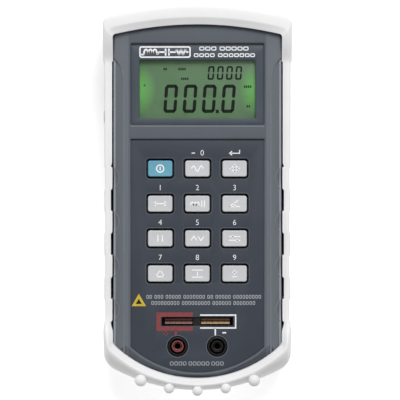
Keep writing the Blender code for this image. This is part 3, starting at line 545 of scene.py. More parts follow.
def solid(name, solids):
    """One object from solids in millimetres."""
    build = bmesh.new()
    for points, faces in solids:
        made = [build.verts.new(Vector(p) * MM) for p in points]
        for face in faces:
            build.faces.new([made[i] for i in face])
    bmesh.ops.recalc_face_normals(build, faces=build.faces)
    mesh = bpy.data.meshes.new(name)
    build.to_mesh(mesh)
    build.free()
    return linked(name, mesh)


def shape(thing, operation, solids, sharp):
    """Cuts solids from a thing, or joins them to it, and keeps the result as its mesh."""
    tool = solid("tool", solids)
    step = thing.modifiers.new("step", "BOOLEAN")
    step.operation = operation
    step.object = tool
    look = thing.data.materials[0]
    made = bpy.data.meshes.new_from_object(thing.evaluated_get(bpy.context.evaluated_depsgraph_get()))
    thing.modifiers.clear()
    thing.data = made
    bpy.data.objects.remove(tool, do_unlink=True)
    dress(thing, look, sharp)


def cut(thing, solids, sharp=30):
    shape(thing, "DIFFERENCE", solids, sharp)


def join(thing, solids, sharp=30):
    shape(thing, "UNION", solids, sharp)


def settle(thing, slot, *replaced, look=None, body="meter", sharp=35):
    """Finishes a thing and puts it on its body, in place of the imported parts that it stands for."""
    dress(thing, LOOKS[look or slot], sharp)
    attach(thing, body)
    if replaced:
        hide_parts(*replaced)
    return thing


def piece(name, solids, slot, *replaced, **more):
    return settle(solid(name, solids), slot, *replaced, **more)


def printed(name, solids, look):
    piece(name, solids, None, look=look)


# The rubber boot


def ramp(start, end, at):
    """0 at start, 1 at end and smooth between."""
    share = min(max((at - start) / (end - start), 0), 1)
    return share * share * (3 - 2 * share)


def by_place(side, top, bottom, y):
    """A value that is one thing along the sides and others at the two ends."""
    value = side + (top - side) * ramp(66, 80, y)
    return value + (bottom - side) * ramp(-56, -72, y)


def in_grip(y):
    """1 inside a finger grip, 0 between them. The upper end of each is a step and the lower a ramp."""
    for lower, upper in GRIPS:
        if lower - 0.5 < y < upper + 0.1:
            return ramp(lower - 0.4, lower + 1, y) * ramp(upper + 0.05, upper - 0.3, y)
    return 0


def along_sides(y):
    """1 along the boot's side walls and 0 at its end caps."""
    below_cap = 1 - ramp(TOP_CAP_EDGE - 0.6, TOP_CAP_EDGE + 0.4, y)
    return below_cap * ramp(BOTTOM_CAP_EDGE, BOTTOM_CAP_EDGE + 5, y)


def outside_setback(y):
    return along_sides(y) * (SIDE_SETBACK + (GRIP_SETBACK - SIDE_SETBACK) * in_grip(y))


def inside_setback(y):
    clearance = SIDE_CLEARANCE + (UPPER_CLEARANCE - SIDE_CLEARANCE) * ramp(16, 18, y)
    return -along_sides(y) * (clearance + (GRIP_CLEARANCE - clearance) * in_grip(y))


def crest_height(y):
    return by_place(SIDE_CREST, TOP_CREST, BOTTOM_CREST, y)


def shoulder_height(y):
    return by_place(SIDE_SHOULDER, TOP_SHOULDER, BOTTOM_SHOULDER, y)


def lip_height(y):
    side, top, bottom = LIP_DROPS
    below_side = (top - side) * ramp(77, 82, y) + (bottom - side) * ramp(-56, -72, y)
    return crest_height(y) - side - below_side


def side_stations():
    """The places down each side at which the boot's section is drawn, closer where it steps."""
    found = {72, 70, 68.5, *(60 - 6 * i for i in range(8)), *(BOTTOM_CAP_EDGE + i for i in range(6))}
    found |= {TOP_CAP_EDGE + 0.2 * i for i in range(-4, 4)}
    found |= {centre + 2.2 * i for centre in GRIP_CENTRES for i in (-1, 0, 1)}
    for lower, upper in GRIPS:
        found |= {upper + 0.1 - 0.1 * i for i in range(6)} | {lower - 0.5 + 0.3 * i for i in range(6)}
    return sorted(found, reverse=True)


STATIONS = side_stations()


def boot_ring(shield, height, setback=lambda y: 0, inset=0):
    """One ring of the boot's surface. Height and setback are functions of Y."""
    outline = shield_outline(shield, inset, STATIONS)
    return [(math.copysign(max(abs(x) - setback(y), 0), x), y, height(y)) for x, y in outline]


def blended(a, b, across, up):
    """A point part of the way from one to another, across and up by different shares."""
    return tuple(p + (q - p) * share for p, q, share in zip(a, b, (across, across, up)))


def between(ring_a, ring_b, across, up):
    return [blended(a, b, across, up) for a, b in zip(ring_a, ring_b, strict=True)]


def rolled_over(shoulder, crest, turn):
    """A ring on the way from shoulder to crest, squarer along the sides and the top than at the bottom."""
    points = []
    for a, b in zip(shoulder, crest, strict=True):
        power = 2 / by_place(5, 6, 1.9, a[1])
        points.append(blended(a, b, 1 - math.cos(turn) ** power, math.sin(turn) ** power))
    return points


def window_rings(steps):
    """Rings round the edge of the boot's window, from (inset, height) steps."""
    return [boot_ring(BOOT_WINDOW, lambda y, z=z: z, inset=i - 0.4) for i, z in steps]


def boot_rings():
    """The boot's section, from the window's lower edge out, up the outside, over and down the inside."""
    outside = [boot_ring(BOOT_OUTSIDE, lambda y, z=z: z, outside_setback, i) for i, z in quarter(2.2, 6)]
    shoulder = boot_ring(BOOT_OUTSIDE, shoulder_height, outside_setback)
    crest = boot_ring(BOOT_CREST, crest_height)
    lip = boot_ring(BOOT_LIP, lip_height, inside_setback)
    low_lip = boot_ring(BOOT_LIP, lambda y: lip_height(y) - 0.5, inside_setback)
    turns = [math.pi / 2 * i / 12 for i in range(1, 12)]
    bend = quarter(0.4, 3)
    return [
        *window_rings(reversed(bend)),
        *outside,
        *(between(outside[-1], shoulder, share, share) for share in (0.3, 0.65)),
        shoulder,
        *(rolled_over(shoulder, crest, turn) for turn in turns),
        crest,
        *(between(crest, lip, across, down) for across, down in ((0.08, 0.02), (0.18, 0.09), (0.3, 0.22))),
        *(between(crest, lip, share, share - 0.05) for share in (0.5, 0.8, 0.96)),
        between(lip, low_lip, 0.3, 0.5),
        low_lip,
        boot_ring(BOOT_INSIDE, lambda y: lip_height(y) - 1.4, inside_setback),
        boot_ring(BOOT_INSIDE, lambda y: BOOT_FLOOR, inside_setback),
        *window_rings((i, BOOT_FLOOR - z) for i, z in bend),
    ]


def rib(x, y, radius):
    """A round rib down the boot's lower end, with a ball for its top and a rounded foot."""
    foot, ball = ([math.radians(d) for d in degrees] for degrees in ((75, 50, 25), range(-32, 85, 9)))
    profile = [(0.85 * radius * math.cos(a), 4.9 - 0.9 * math.sin(a)) for a in foot]
    profile += [(radius * math.cos(a), RIB_BALL_HEIGHT + radius * math.sin(a)) for a in ball]
    return turned(profile, x, y, 32)


def make_boot():
    boot = piece("boot_skin", [loft(boot_rings(), hollow=True)], "boot_rubber", "boot")
    join(boot, [rib(*place) for place in RIBS], 40)
    hole = [(5.6, 0), (4.4, 1.2), (4.4, 9)]
    cut(boot, [rod(hole, INLET.x0 - 1.4, *INLET_PLACE)], 40)


# The front of the case


def ridge_line():
    """The ridge down the right side of the face, up to where it swoops out to the edge."""
    return arc(RIDGE + RIDGE_SWOOP_RADIUS, RIDGE_SWOOP_Y, RIDGE_SWOOP_RADIUS, 180, 125, 24)


def slope_height(x):
    """How high the side facet is, but for its finger grips."""
    return FACE - FACET_SLOPE * (x - RIDGE)


def facet_cutter():
    """What is cut away outside the ridge down each side of the face: a slope down to the edge."""
    outline = ridge_line()
    outline += [(42.5, outline[-1][1]), (42.5, FACET_END), (RIDGE, FACET_END)]
    slope = [(x, y, slope_height(x)) for x, y in outline]
    return both_sides([loft([slope, level(outline, FACE + 3)])])


def chin_cutter():
    """What is cut away below the keypad's round end: a slope down to the case's lower edge."""
    bottom, _, radius = KEYPAD_RECESS
    near, far = radius + 1.1, radius + 14
    turn = math.degrees(math.asin((RIDGE - 0.4) / near))
    inner, outer = (
        level(arc(0, bottom + radius, reach, 270 - turn, 270 + turn, 40), FACE - drop)
        for reach, drop in ((near, 0), (far, 12.9 * CHIN_SLOPE))
    )
    outline = [*inner, *reversed(outer)]
    return loft([outline, [(x, y, FACE + 3) for x, y, _ in outline]])


def grip_cutters():
    """Slanted round cuts that leave a lens shape in each side facet."""
    reach = GRIP_CUT_RADIUS * math.sqrt(2)
    turn = Matrix.Rotation(math.radians(-45), 4, "Y")
    cutter = turned([(GRIP_CUT_RADIUS, -16), (GRIP_CUT_RADIUS, 16)], steps=72)
    side = []
    for y in GRIP_CENTRES:
        place = Matrix.Translation((GRIP_CUT_X + reach, y, slope_height(GRIP_CUT_X)))
        side.append(moved(cutter, place @ turn))
    return both_sides(side)


def jack_middle(sign):
    return middle(f"jack_{sign}_shroud")


def jack_holes():
    return [disc(*jack_middle(sign), JACK_HOLE) for sign in ("pos", "neg")]


def make_front_case():
    shell = soft(lambda i: shield_outline(CASE, i), CASE_SPLIT, FACE, top=1.1)
    case = piece("case_front", [shell], "case_plastic", "front_case")
    cut(case, [prism(shield_outline(CASE, WALL), CASE_SPLIT - 1, FRONT_WALL)])
    display = plate(-PANEL_HALF, PANEL_HALF, *DISPLAY_RECESS, 0.6)
    cut(case, [flared(outline, RECESS_FLOOR, FACE, 1, 0.75) for outline in (display, keypad_outline)])
    cut(case, [box(*widened(LCD_WINDOW, 1.3), LCD_SEAT, RECESS_FLOOR + 0.4)])
    cut(case, [box(*LCD_WINDOW, FRONT_WALL - 1, LCD_OPENING)])
    holes = [about(node, *CASE_HOLE) for node in KEY_ICONS]
    holes += [plate(*widened(SLOT, 0.8), 0.2, 2), *jack_holes()]
    cut(case, [prism(hole(0), FRONT_WALL - 1, RECESS_FLOOR + 1) for hole in holes])
    cut(case, facet_cutter())
    cut(case, grip_cutters())
    cut(case, [chin_cutter()])
    cut(case, [rod([(3.9, 0), (3.9, 6)], -42.5, *INLET_PLACE)])


def bead(name, points, radius, look):
    """A fine round line, half sunk in the case, along points."""
    curve = bpy.data.curves.new(name, "CURVE")
    curve.dimensions = "3D"
    curve.bevel_depth = radius * MM
    curve.bevel_resolution = 3
    curve.use_fill_caps = True
    line = curve.splines.new("POLY")
    line.points.add(len(points) - 1)
    for point, place in zip(line.points, points, strict=True):
        point.co = (*(Vector(place) * MM), 1)
    guide = linked(name, curve)
    made = bpy.data.meshes.new_from_object(guide)
    bpy.data.objects.remove(guide, do_unlink=True)
    settle(linked(name, made), "case_plastic", look=look, sharp=60)


def grip_sag(offset):
    """How far a finger grip's cut has curved back at an offset from its middle."""
    return GRIP_CUT_RADIUS - math.sqrt(GRIP_CUT_RADIUS**2 - offset**2)


def facet_height(x, y):
    """How high the side facet is, down in the lens of a finger grip and up between them."""
    lenses = [
        slope_height(GRIP_CUT_X) + GRIP_CUT_X - x + math.sqrt(2) * grip_sag(y - centre)
        for centre in GRIP_CENTRES
        if abs(y - centre) < GRIP_CUT_RADIUS
    ]
    return min([slope_height(x), *lenses])


def make_case_beads():
    """Fine beads moulded along the ridges, the outer edges and the two recesses, painted lighter as highlight
    lines.
    """
    for side, name in ((1, "right"), (-1, "left")):
        line = [(RIDGE, -76.8), (RIDGE, 0), *ridge_line()]
        points = [(side * x, y, slope_height(x) - 0.25) for x, y in line]
        bead(f"ridge_bead_{name}", points, 0.5, "case_edge_highlight")
        places = [-76.6 + 0.7 * i for i in range(207)]
        points = [(side * EDGE_BEAD_X, y, facet_height(EDGE_BEAD_X, y) - 0.36) for y in places]
        bead(f"edge_bead_{name}", points, 0.6, "case_outer_edge_highlight")
        for number, centre in enumerate(GRIP_CENTRES, 1):
            points = []
            for offset in [0.53 * i for i in range(-10, 11)]:
                x, y = GRIP_CUT_X + math.sqrt(2) * grip_sag(offset) / (1 - FACET_SLOPE), centre + offset
                points.append((side * x, y, facet_height(x, y) - 0.14))
            bead(f"grip_bead_{name}_{number}", points, 0.34, "case_edge_highlight")
    z, top = FACE - 0.28, KEYPAD_RECESS[1] - 1.2
    outline = keypad_outline(-0.5)
    points = [(x, min(y, top), z) for x, y in [outline[-1], *outline[:-1]]]
    bead("keypad_edge_bead", points, 0.28, "recess_edge_highlight")
    y = DISPLAY_RECESS[0] - 0.9
    bead("bridge_bead", [(-PANEL_HALF, y, z), (PANEL_HALF, y, z)], 0.4, "case_edge_highlight")


# The display


def make_display():
    low, high = DISPLAY_RECESS
    outer = plate(-PANEL_HALF + 0.04, PANEL_HALF - 0.04, low + 0.04, high - TOP_SHADOW_LINE, 0.5)
    panel = frame_ring(outer, plate(*LCD_WINDOW, 0.5), PLATE_BACK, PLATE_TOP, 0.25)
    piece("display_bezel", [panel], "panel_plastic", "display_panel", look="panel_print")
    *limits, low, high = span("display_lens")
    piece("display_window", [soft(plate(*limits, 0.8), low, high, 0.25, 0.1)], "lens_clear", "display_lens")
    *limits, low, high = span("lcd_glass")
    glass = soft(plate(*limits, 0.3), low, high, 0.12, 0.12)
    piece("lcd_cell", [glass], "lcd_glass_green", "lcd_glass", look="lcd_green")
    marks = [prism(outline, high - 0.02, high + 0.04) for outline in digits() + annunciators()]
    piece("lcd_segments", marks, "black_plastic", look="lcd_digits")


def segment(x0, y0, x1, y1, thick):
    """One bar of a digit, with its ends cut to a blunt point."""
    along = Vector((x1 - x0, y1 - y0)).normalized()
    side = Vector((-along.y, along.x)) * thick / 2
    cutback, tip = along * thick * 0.38, side * 0.25
    start, end = Vector((x0, y0)), Vector((x1, y1))
    corners = [start + tip, start - tip, start + cutback - side, end - cutback - side]
    corners += [end - tip, end + tip, end - cutback + side, start + cutback + side]
    return [tuple(c) for c in corners]


def zero(left, bottom, width, height, thick):
    """A seven-segment 0: six bars round a rectangle, leaning to the right."""
    a, b = thick / 2, 0.1 * thick
    right, top, half = left + width, bottom + height, bottom + height / 2
    bars = [(left + a * 0.7, y, right - a * 0.7, y) for y in (top - a, bottom + a)]
    for x in (left + a, right - a):
        bars.append((x, half + b + a * 0.3, x, top - a * 0.7 - b))
        bars.append((x, bottom + a * 0.7 + b, x, half - b - a * 0.3))
    outlines = [segment(*bar, thick) for bar in bars]
    return [[(x + (y - bottom) * DIGIT_SLANT, y) for x, y in outline] for outline in outlines]


def digits():
    """Four large zeros with a point before the last, and four small ones above them."""
    outlines = []
    for i in range(4):
        outlines += zero(-16.6 + 9.3 * i, 42.2, 6.4, 13.7, 1.6)
        outlines += zero(4.8 + 4.45 * i, 58.2, 3.1, 6.6, 0.85)
    return [*outlines, rounded(9.6, 42.9, 1.5, 1.7, 0.3, 3)]


def annunciators():
    """Tiny plain marks round the digits, where a display lights its modes."""
    places = ((-15.6, 63.4, 1.8), (-7.4, 63.4, 3.4), (-6.1, 58.7, 3.8), (24.3, 54.9, 3.2), (24.6, 45.4, 1.6))
    found = [[(-25.9, 55), (-24.9, 55.5), (-25.9, 56)]]
    for x, y, width in places:
        count = max(round(width / 0.9), 1)
        found += [rounded(x + (i - (count - 1) / 2) * 0.95, y, 0.65, 1.2, 0.12, 2) for i in range(count)]
    return found


# The keypad


def make_overlay():
    film = soft(lambda i: keypad_outline(0.04 + i, TOP_SHADOW_LINE), PLATE_BACK, PLATE_TOP, top=0.15)
    overlay = piece("keypad_film", [film], "overlay_film", "keypad_overlay", look="overlay_print")
    holes = [*(about(node, *FILM_HOLE) for node in KEY_ICONS), plate(*SLOT, 0.35, 3), *jack_holes()]
    cut(overlay, [flared(hole, PLATE_BACK - 1, PLATE_TOP, 0.15) for hole in holes])
    rims = [frame_ring(about(node, *RIM_OUTSIDE), about(node, *RIM_INSIDE), *RIM) for node in KEY_ICONS]
    for sign in ("pos", "neg"):
        rims.append(frame_ring(*(disc(*jack_middle(sign), radius) for radius in (5.5, 5.1)), *RIM))
    # The rims take a lighter finish, painted as a highlight.
    piece("embossed_rims", rims, "overlay_film", look="embossed_rim_highlight")


def coil(x, y, width, bumps, height):
    """A coil drawn as arches in a row, one line each."""
    radius = width / bumps / 2
    arches = []
    for i in range(bumps):
        arch = arc(x - width / 2 + radius * (2 * i + 1), y, radius, 180, 0, 10)
        arches.append([(px, y + (py - y) * height / radius) for px, py in arch])
    return arches


KEY_ICONS = {  # each is a list of lines, in millimetres about the middle of its key
    "key_power": [arc(0, 0, 1.75, 0, 360, 28), [(0, -0.9), (0, 0.9)]],
    "key_freq": [[(5.6 * (i / 24 - 0.5), 1.3 * math.sin(math.pi * i / 8)) for i in range(25)]],
    "key_cal": [arc(0, 0, 1.3, 0, 360, 24), [(-2.4, 0), (2.4, 0)], [(0, -2.2), (0, 2.2)]],
    "key_range": [[(-3, 0), (3, 0)], [(-2, 1.1), (-3.1, 0), (-2, -1.1)], [(2, 1.1), (3.1, 0), (2, -1.1)]],
    "key_lcr": [*coil(-1.2, -0.9, 4.2, 3, 1.6), [(2.1, 1.6), (2.1, -1.6)], [(3.4, 1.6), (3.4, -1.6)]],
    "key_dqr": [[(2.6, -1.4), (-2.6, -1.4)], [(-2.6, -1.4), (1.8, 1.7)], arc(-2.6, -1.4, 2.8, 0, 35, 8)],
    "key_hold": [[(-1.1, 1.6), (-1.1, -1.6)], [(1.1, 1.6), (1.1, -1.6)]],
    "key_minmax": [[(-3.1, -1), (-1.7, 1.1), (-0.3, -1)], [(0.3, 1), (1.7, -1.1), (3.1, 1)]],
    "key_set": [
        *([(-2.8, y), (2.8, y)] for y in (0.9, -0.9)),
        *([(x, y), (x, y - 1.6)] for x, y in ((-1, 1.7), (1.2, -0.1))),
    ],
    "key_rel": [[(0, 1.7), (-2.1, -1.5)], [(-2.3, -1.5), (2.3, -1.5)], [(2.1, -1.5), (0, 1.7)]],
    "key_limits": [[(-2.7, 1.7), (2.7, 1.7)], [(-2.7, -1.7), (2.7, -1.7)], [(0, 0.9), (0, -0.9)]],
    "key_tol": [[(-1.2, 0.7), (1.2, 0.7)], [(0, 1.9), (0, -0.5)], [(-1.2, -1.5), (1.2, -1.5)]],
}
NUMBER_KEYS = list(KEY_ICONS)[3:]


def make_keys():
    """Each cap with a rounded rim, a slightly dished top and a printed symbol, on its dark skirt."""
    for node, lines in KEY_ICONS.items():
        part, (x, y) = span(node), middle(node)
        z0, z1, shelf = part.z0, part.z1, part.z0 + 1.3
        flange = about(node, part.x1 - part.x0, part.y1 - part.y0, 1.2)
        cap = about(node, *CAP)
        skirt = levels(flange, (0, z0), (0, shelf - 0.2), (0.2, shelf))
        skirt += levels(cap, (-0.25, shelf), (-0.1, shelf + 0.35), (0.5, shelf + 0.4))
        piece(node + "_skirt", [loft(skirt)], "black_plastic", body=node)
        rim = [(0.1 + inset, z1 - drop) for inset, drop in reversed(quarter(0.45, 6))]
        dish = [(0.8 + 0.5 * i, z1 - 0.03 - 0.07 * ramp(0, 5, i)) for i in range(6)]
        top = loft(levels(cap, (0, shelf + 0.38), (0.1, z1 - 0.7), *rim, *dish))
        piece(node + "_cap", [top], "key_blue" if node == "key_power" else "key_grey", node, body=node)
        signs = [stroke([(x + dx, y + dy) for dx, dy in line], 0.55, z1 - 0.2, z1 - 0.01) for line in lines]
        piece(node + "_symbol", signs, "key_grey", look="ink_on_keys", body=node)


# Printing on the face

# Rows of blocks: x0, x1, middle y, block height, blocks in each word, gap between words and line width.
TITLE_ROWS = ((0.9, 24.6, 73, 1.9, (3, 5), 1.6, 0.45), (-1.7, 27.7, 69.8, 1.8, (4, 7), 1.6, 0.45))
SMALL_ROWS = (
    (-24.6, 30.6, -46.5, 1.8, (2, 3, 5, 7, 2, 5, 9), 1.2, 0.34),
    (-22.2, 27.8, -49.5, 1.8, (9, 9, 6, 7), 1.2, 0.34),
    (-13.2, 12.6, -78.6, 1.9, (4, 5, 3), 1, 0.34),
)
BLOCK_GAP, FIGURE_HEIGHT = 0.34, 2.7
MAKER_PLATE = (-28, -3.2, 68.5, 74.1)
CAUTION_PLACE, CORE_PLACE = (-28.2, -49), (-28.2, -49.1)


def block_row(x0, x1, y, height, words, gap, line):
    """A row of small open blocks, grouped like words, that says nothing."""
    letters = sum(words)
    width = (x1 - x0 - gap * (len(words) - 1) - BLOCK_GAP * (letters - len(words))) / letters
    blocks, x = [], x0
    for count in words:
        for _ in range(count):
            outer = plate(x, x + width, y - height / 2, y + height / 2, min(width, height) * 0.3, 3)
            blocks.append(border(outer, line, *INK))
            x += width + BLOCK_GAP
        x += gap - BLOCK_GAP
    return blocks


def inked(width, *lines):
    """Printed lines of one width."""
    return [stroke(line, width, *INK) for line in lines]


def figure(character, x, y):
    """A plain number about (x, y)."""
    curve = bpy.data.curves.new("figure", "FONT")
    curve.body = character
    curve.align_x = "CENTER"
    curve.size = FIGURE_HEIGHT / 0.72
    curve.offset = -0.03
    curve.extrude = (INK[1] - INK[0]) / 2
    guide = bpy.data.objects.new("figure", curve)
    mesh = bpy.data.meshes.new_from_object(guide)
    points = [(v.co.x + x, v.co.y + y - FIGURE_HEIGHT / 2, v.co.z + PLATE_TOP) for v in mesh.vertices]
    faces = [tuple(face.vertices) for face in mesh.polygons]
    bpy.data.objects.remove(guide)
    return points, faces


def make_face_print():
    make_maker_plate()
    printed("title_rows", [block for row in TITLE_ROWS for block in block_row(*row)], "ink_white")
    printed("small_rows", [block for row in SMALL_ROWS for block in block_row(*row)], "ink_grey")
    make_numbers()
    printed("caution_mark", [prism(arc(*CAUTION_PLACE, 4, 90, 330, 2), *INK)], "ink_yellow")
    core = prism(arc(*CORE_PLACE, 1.7, 90, 330, 2), INK[1] - 0.02, INK[1] + 0.02)
    printed("caution_core", [core], "black_plastic")
    make_terminal_print()


def make_maker_plate():
    """A round-cornered frame round a coil, a capacitor and a resistor."""
    _, _, y0, y1 = MAKER_PLATE
    y = (y0 + y1) / 2
    zigzag = [(-10.4, 0), (-9.9, 1.4), (-8.9, -1.4), (-7.9, 1.4), (-6.9, -1.4), (-5.9, 1.4), (-5.4, 0)]
    lines = [*zip(zigzag, zigzag[1:]), *([(x, 1.7), (x, -1.7)] for x in (-15.3, -13.7))]
    lines += [[(-18.6, 0), (-15.3, 0)], [(-13.7, 0), (-10.3, 0)], [(-27, -1.2), (-25.7, -1.2)]]
    lines += [[(-19.4, -1.2), (-18.4, 0)], [(-5.5, 0), (-4.3, 0)]]
    drawn = [[(x, y + dy) for x, dy in line] for line in lines]
    frame_line = border(plate(*MAKER_PLATE, 1.2), 0.7, *INK)
    printed("plate", [frame_line, *inked(0.8, *drawn, *coil(-22.6, y - 1.2, 6.4, 3, 2.5))], "ink_white")


def make_numbers():
    """Numbers over the number keys, and a minus, a 0 and a return arrow over the top row."""
    figures = []
    for number, node in enumerate(NUMBER_KEYS, 1):
        x, y = middle(node)
        figures.append(figure(str(number), x, y + 7.85))
    x, y = middle("key_freq")
    figures.append(figure("0", x + 2.3, y + 7.7))
    minus = [(x - 2.8, y + 7.5), (x - 1.2, y + 7.5)]
    x, y = middle("key_cal")
    stem = [(x + 2.4, y + 9), (x + 2.4, y + 7.4), (x - 2.2, y + 7.4)]
    head = [(x - 1.2, y + 8.4), (x - 2.4, y + 7.4), (x - 1.2, y + 6.4)]
    printed("key_numbers", figures + inked(0.45, stem, head, minus), "ink_white")


def make_terminal_print():
    """The red and the white surround of the two halves of the slot, each with a stem to its socket."""
    x0, x1, y0, y1 = SLOT
    top, bottom = y1 + 0.95, y0 - 0.95
    jack_x, jack_y = jack_middle("neg")
    surround = [(1.3, top), (x1 + 1.1, top), (x1 + 1.1, bottom), (1.3, bottom)]
    stem = [(jack_x - 0.9, bottom), (jack_x - 0.9, jack_y + 5)]
    printed("negative_print", inked(0.66, surround, stem, [(12, -63.8), (13.8, -63.8)]), "ink_white")
    jack_x, jack_y = jack_middle("pos")
    left, top, bottom = x0 - 1.4, y1 + 1.2, y0 - 1.3
    red = inked(2.1, [(-2.2, top), (left, top), (left, bottom), (-2.2, bottom)])
    red += inked(1.1, [(jack_x - 0.9, y0 - 2.2), (jack_x - 0.9, jack_y + 5.1)])
    red += inked(0.6, [(-16.3, -64.2), (-14.1, -64.2)], [(-15.2, -63.1), (-15.2, -65.3)])
    printed("positive_print", red, "ink_red")


# The terminals


def make_slot():
    *limits, low, high = span("slot_housing")
    shelf = FRONT_WALL - 0.3
    rings = levels(plate(*limits, 0.6, 4), (0, low), (0, shelf - 0.2), (0.2, shelf))
    rings += levels(plate(*widened(SLOT, 0.5), 0.4, 4), (0, shelf), (0, high - 0.2), (0.2, high))
    housing = piece("slot_block", [loft(rings)], "black_plastic", "slot_housing")
    halves = ((SLOT[0] + 0.3, SLOT_DIVIDER[0]), (SLOT_DIVIDER[1], SLOT[1] - 0.3))
    y0, y1 = SLOT[2] + 0.2, SLOT[3] - 0.2
    cut(housing, [flared(plate(*half, y0, y1, 0.3, 3), low + 0.9, high, 0.12) for half in halves])
    for sign, slot in (("pos", "contact_copper"), ("neg", "contact_brass")):
        for name, wall, way in (("upper", y1, -1), ("lower", y0, 1)):
            node = f"contact_{sign}_{name}"
            part = span(node)
            piece(node + "_leaf", leaf_fingers(part.x0, part.x1, wall, way, low + 1.2), slot, node)


def leaf_fingers(x0, x1, wall, way, base):
    """A leaf spring slit into fingers that bow out and flare at their tips."""
    knots = [(0.5, base), (0.55, base + 1.6), (0.9, base + 3.4), (1.6, base + 5.2), (1.77, base + 5.9)]
    line = smoothed([*knots, (1.45, 44.5), (0.85, 44.8)], 6)
    near, far = ([(wall + way * (offset + side), z) for offset, z in line] for side in (-0.16, 0.16))
    pitch = (x1 - x0) / LEAF_FINGERS
    starts = [x0 + pitch * i for i in range(LEAF_FINGERS)]
    return [extruded_along_x(near + far[::-1], x + LEAF_GAP, x + pitch - LEAF_GAP) for x in starts]


def make_jacks():
    """Each socket: a black shroud with a well in it, a coloured liner and a metal cup below."""
    # Each cup takes a darker copy of brass, as painted shade down in its socket.
    for sign, colour, cup_shade in (("pos", "red", "half_shaded"), ("neg", "black", "deep_shaded")):
        x, y = jack_middle(sign)
        node = f"jack_{sign}_shroud"
        part = span(node)
        z0, z1, outer, well = part.z0, part.z1, (part.x1 - part.x0) / 2, part.z0 + 1.9
        profile = [(outer, z0), (outer, z1 - 0.5), (outer - 0.12, z1 - 0.15), (outer - 0.4, z1), (4, z1)]
        profile += [(3.8, z1 - 0.15), (3.75, z1 - 0.5), (3.75, well), (2.65, well), (2.65, z0)]
        piece(f"jack_{sign}_ring", [turned(profile, x, y, 64, True)], "black_plastic", node)
        node, step = f"jack_{sign}_sleeve", 41.9
        z0, z1 = span(node)[4:]
        profile = [(3.15, z0), (3.15, step), (2.85, step + 0.6), (2.85, z1 - 0.2), (2.7, z1), (2.3, z1)]
        profile += [(2.1, z1 - 0.2), (2.1, step - 0.6), (2.65, step - 0.6), (2.65, z0)]
        piece(f"jack_{sign}_liner", [turned(profile, x, y, 64, True)], f"{colour}_plastic", node)
        node = f"jack_{sign}_contact"
        z0, z1 = span(node)[4:]
        profile = [(2.1, z0), (2.35, z0 + 0.3), (2.35, z1 - 0.2), (2.25, z1), (2.05, z1 + 0.2), (2.05, 44.6)]
        profile += [(1.85, 44.9), (1.5, 44.8), (1.3, 44.3), (1.4, 43.4), (2, z1 - 2), (2, z0 + 2.1)]
        profile += [(0.05, z0 + 0.9), (0.05, z0)]
        body = turned(profile, x, y, 48, True)
        cup = piece(f"jack_{sign}_cup", [body], "contact_brass", node, look=f"contact_brass_{cup_shade}")
        slits = [box(x - a, x + a, y - b, y + b, z1 + 1, 46) for a, b in ((3, 0.15), (0.15, 3))]
        cut(cup, slits, 40)


# The back


def sunk(outline, floor, rim=0.3):
    """What is cut away for a recess in the back whose edge is rounded."""
    points, faces = flared(outline, -floor, -CASE_BACK, rim)
    return [(x, y, -z) for x, y, z in points], faces


def stand_bed(inset):
    """The stand's bed, with a finger notch at its foot."""
    _, half, foot, hinge = STAND
    low, high, half = foot - 0.4 + inset, hinge + 1.9 - inset, half + 0.4 - inset
    return symmetric([(-half, high), (-half, low), (inset - 9, low), (inset - 9, low - 5.5)])


def door_ear(inset, size=DOOR_EAR):
    top, reach = DOOR[2] + 1, size - inset
    return [(reach, top), (-reach, top), *arc(0, DOOR_SCREW_Y, reach, 180, 360, 24)]


def case_screw_places():
    return [middle(f"case_screw_{number}") for number in range(1, 5)]


def grip_line(half, y, step, number):
    """One of a row of short round-ended slots across the back."""
    low = y + step * number
    return plate(-half, half, low, low + 0.8, 0.38, 4)


def make_rear_case():
    """The back shell: a tub with rounded edges and the beds of the stand, the label and the battery door."""
    edge = [(inset, CASE_BACK + drop * 1.33) for inset, drop in quarter(1.2, 6)]
    shell = loft(levels(lambda i: shield_outline(CASE, i), *edge, (0, CASE_TOP)))
    case = piece("case_rear", [shell], "case_plastic", "rear_case")
    cut(case, [prism(shield_outline(CASE, WALL), REAR_WALL, CASE_TOP + 1)])
    root = REAR_WALL - 0.5
    boss = [(3.4, root), (3.4, CASE_TOP - 0.3), (3.1, CASE_TOP)]
    walls = symmetric([(-30.2, -43.1), (-30.2, -73.5), (-28.9, -73.5), (-28.9, -44.4)])
    inner = [turned(boss, *place) for place in case_screw_places()]
    inner += [prism(walls, root, 24), box(-29, 29, -41.3, 31.5, root, 9.3)]
    join(case, [*inner, turned([(3.2, root), (3.2, 11.2), (2.9, 11.5)], 0, DOOR_SCREW_Y)])
    cut(case, [sunk(stand_bed, 6.9)])
    cut(case, [sunk(plate(*widened(span("rear_label"), 0.4), 1.9), 3.9, 0.2)])
    cut(case, [rod([(1.3, -28.3), (1.3, 28.3)], 0, STAND[3], STAND_PIN_HEIGHT, 32)])
    cut(case, [sunk(plate(*widened(DOOR, 0.3), 0.3, 3), REAR_WALL + 0.4, 0.15)])
    cut(case, [sunk(lambda i: door_ear(i, DOOR_EAR + 0.3), 5.5, 0.15)])
    for place in case_screw_places():
        cut(case, [sunk(disc(*place, 3.1), 5.4, 0.25), turned([(1.8, 5), (1.8, CASE_TOP + 1)], *place, 32)])
    cut(case, [turned([(1.5, 5), (1.5, 10.8)], 0, DOOR_SCREW_Y, 32)])
    for y in [66 + 2.2 * i for i in range(5)]:
        cut(case, [sunk(plate(-7.5, 7.5, y - 0.55, y + 0.55, 0.5, 4), REAR_WALL + 1, 0.2)])


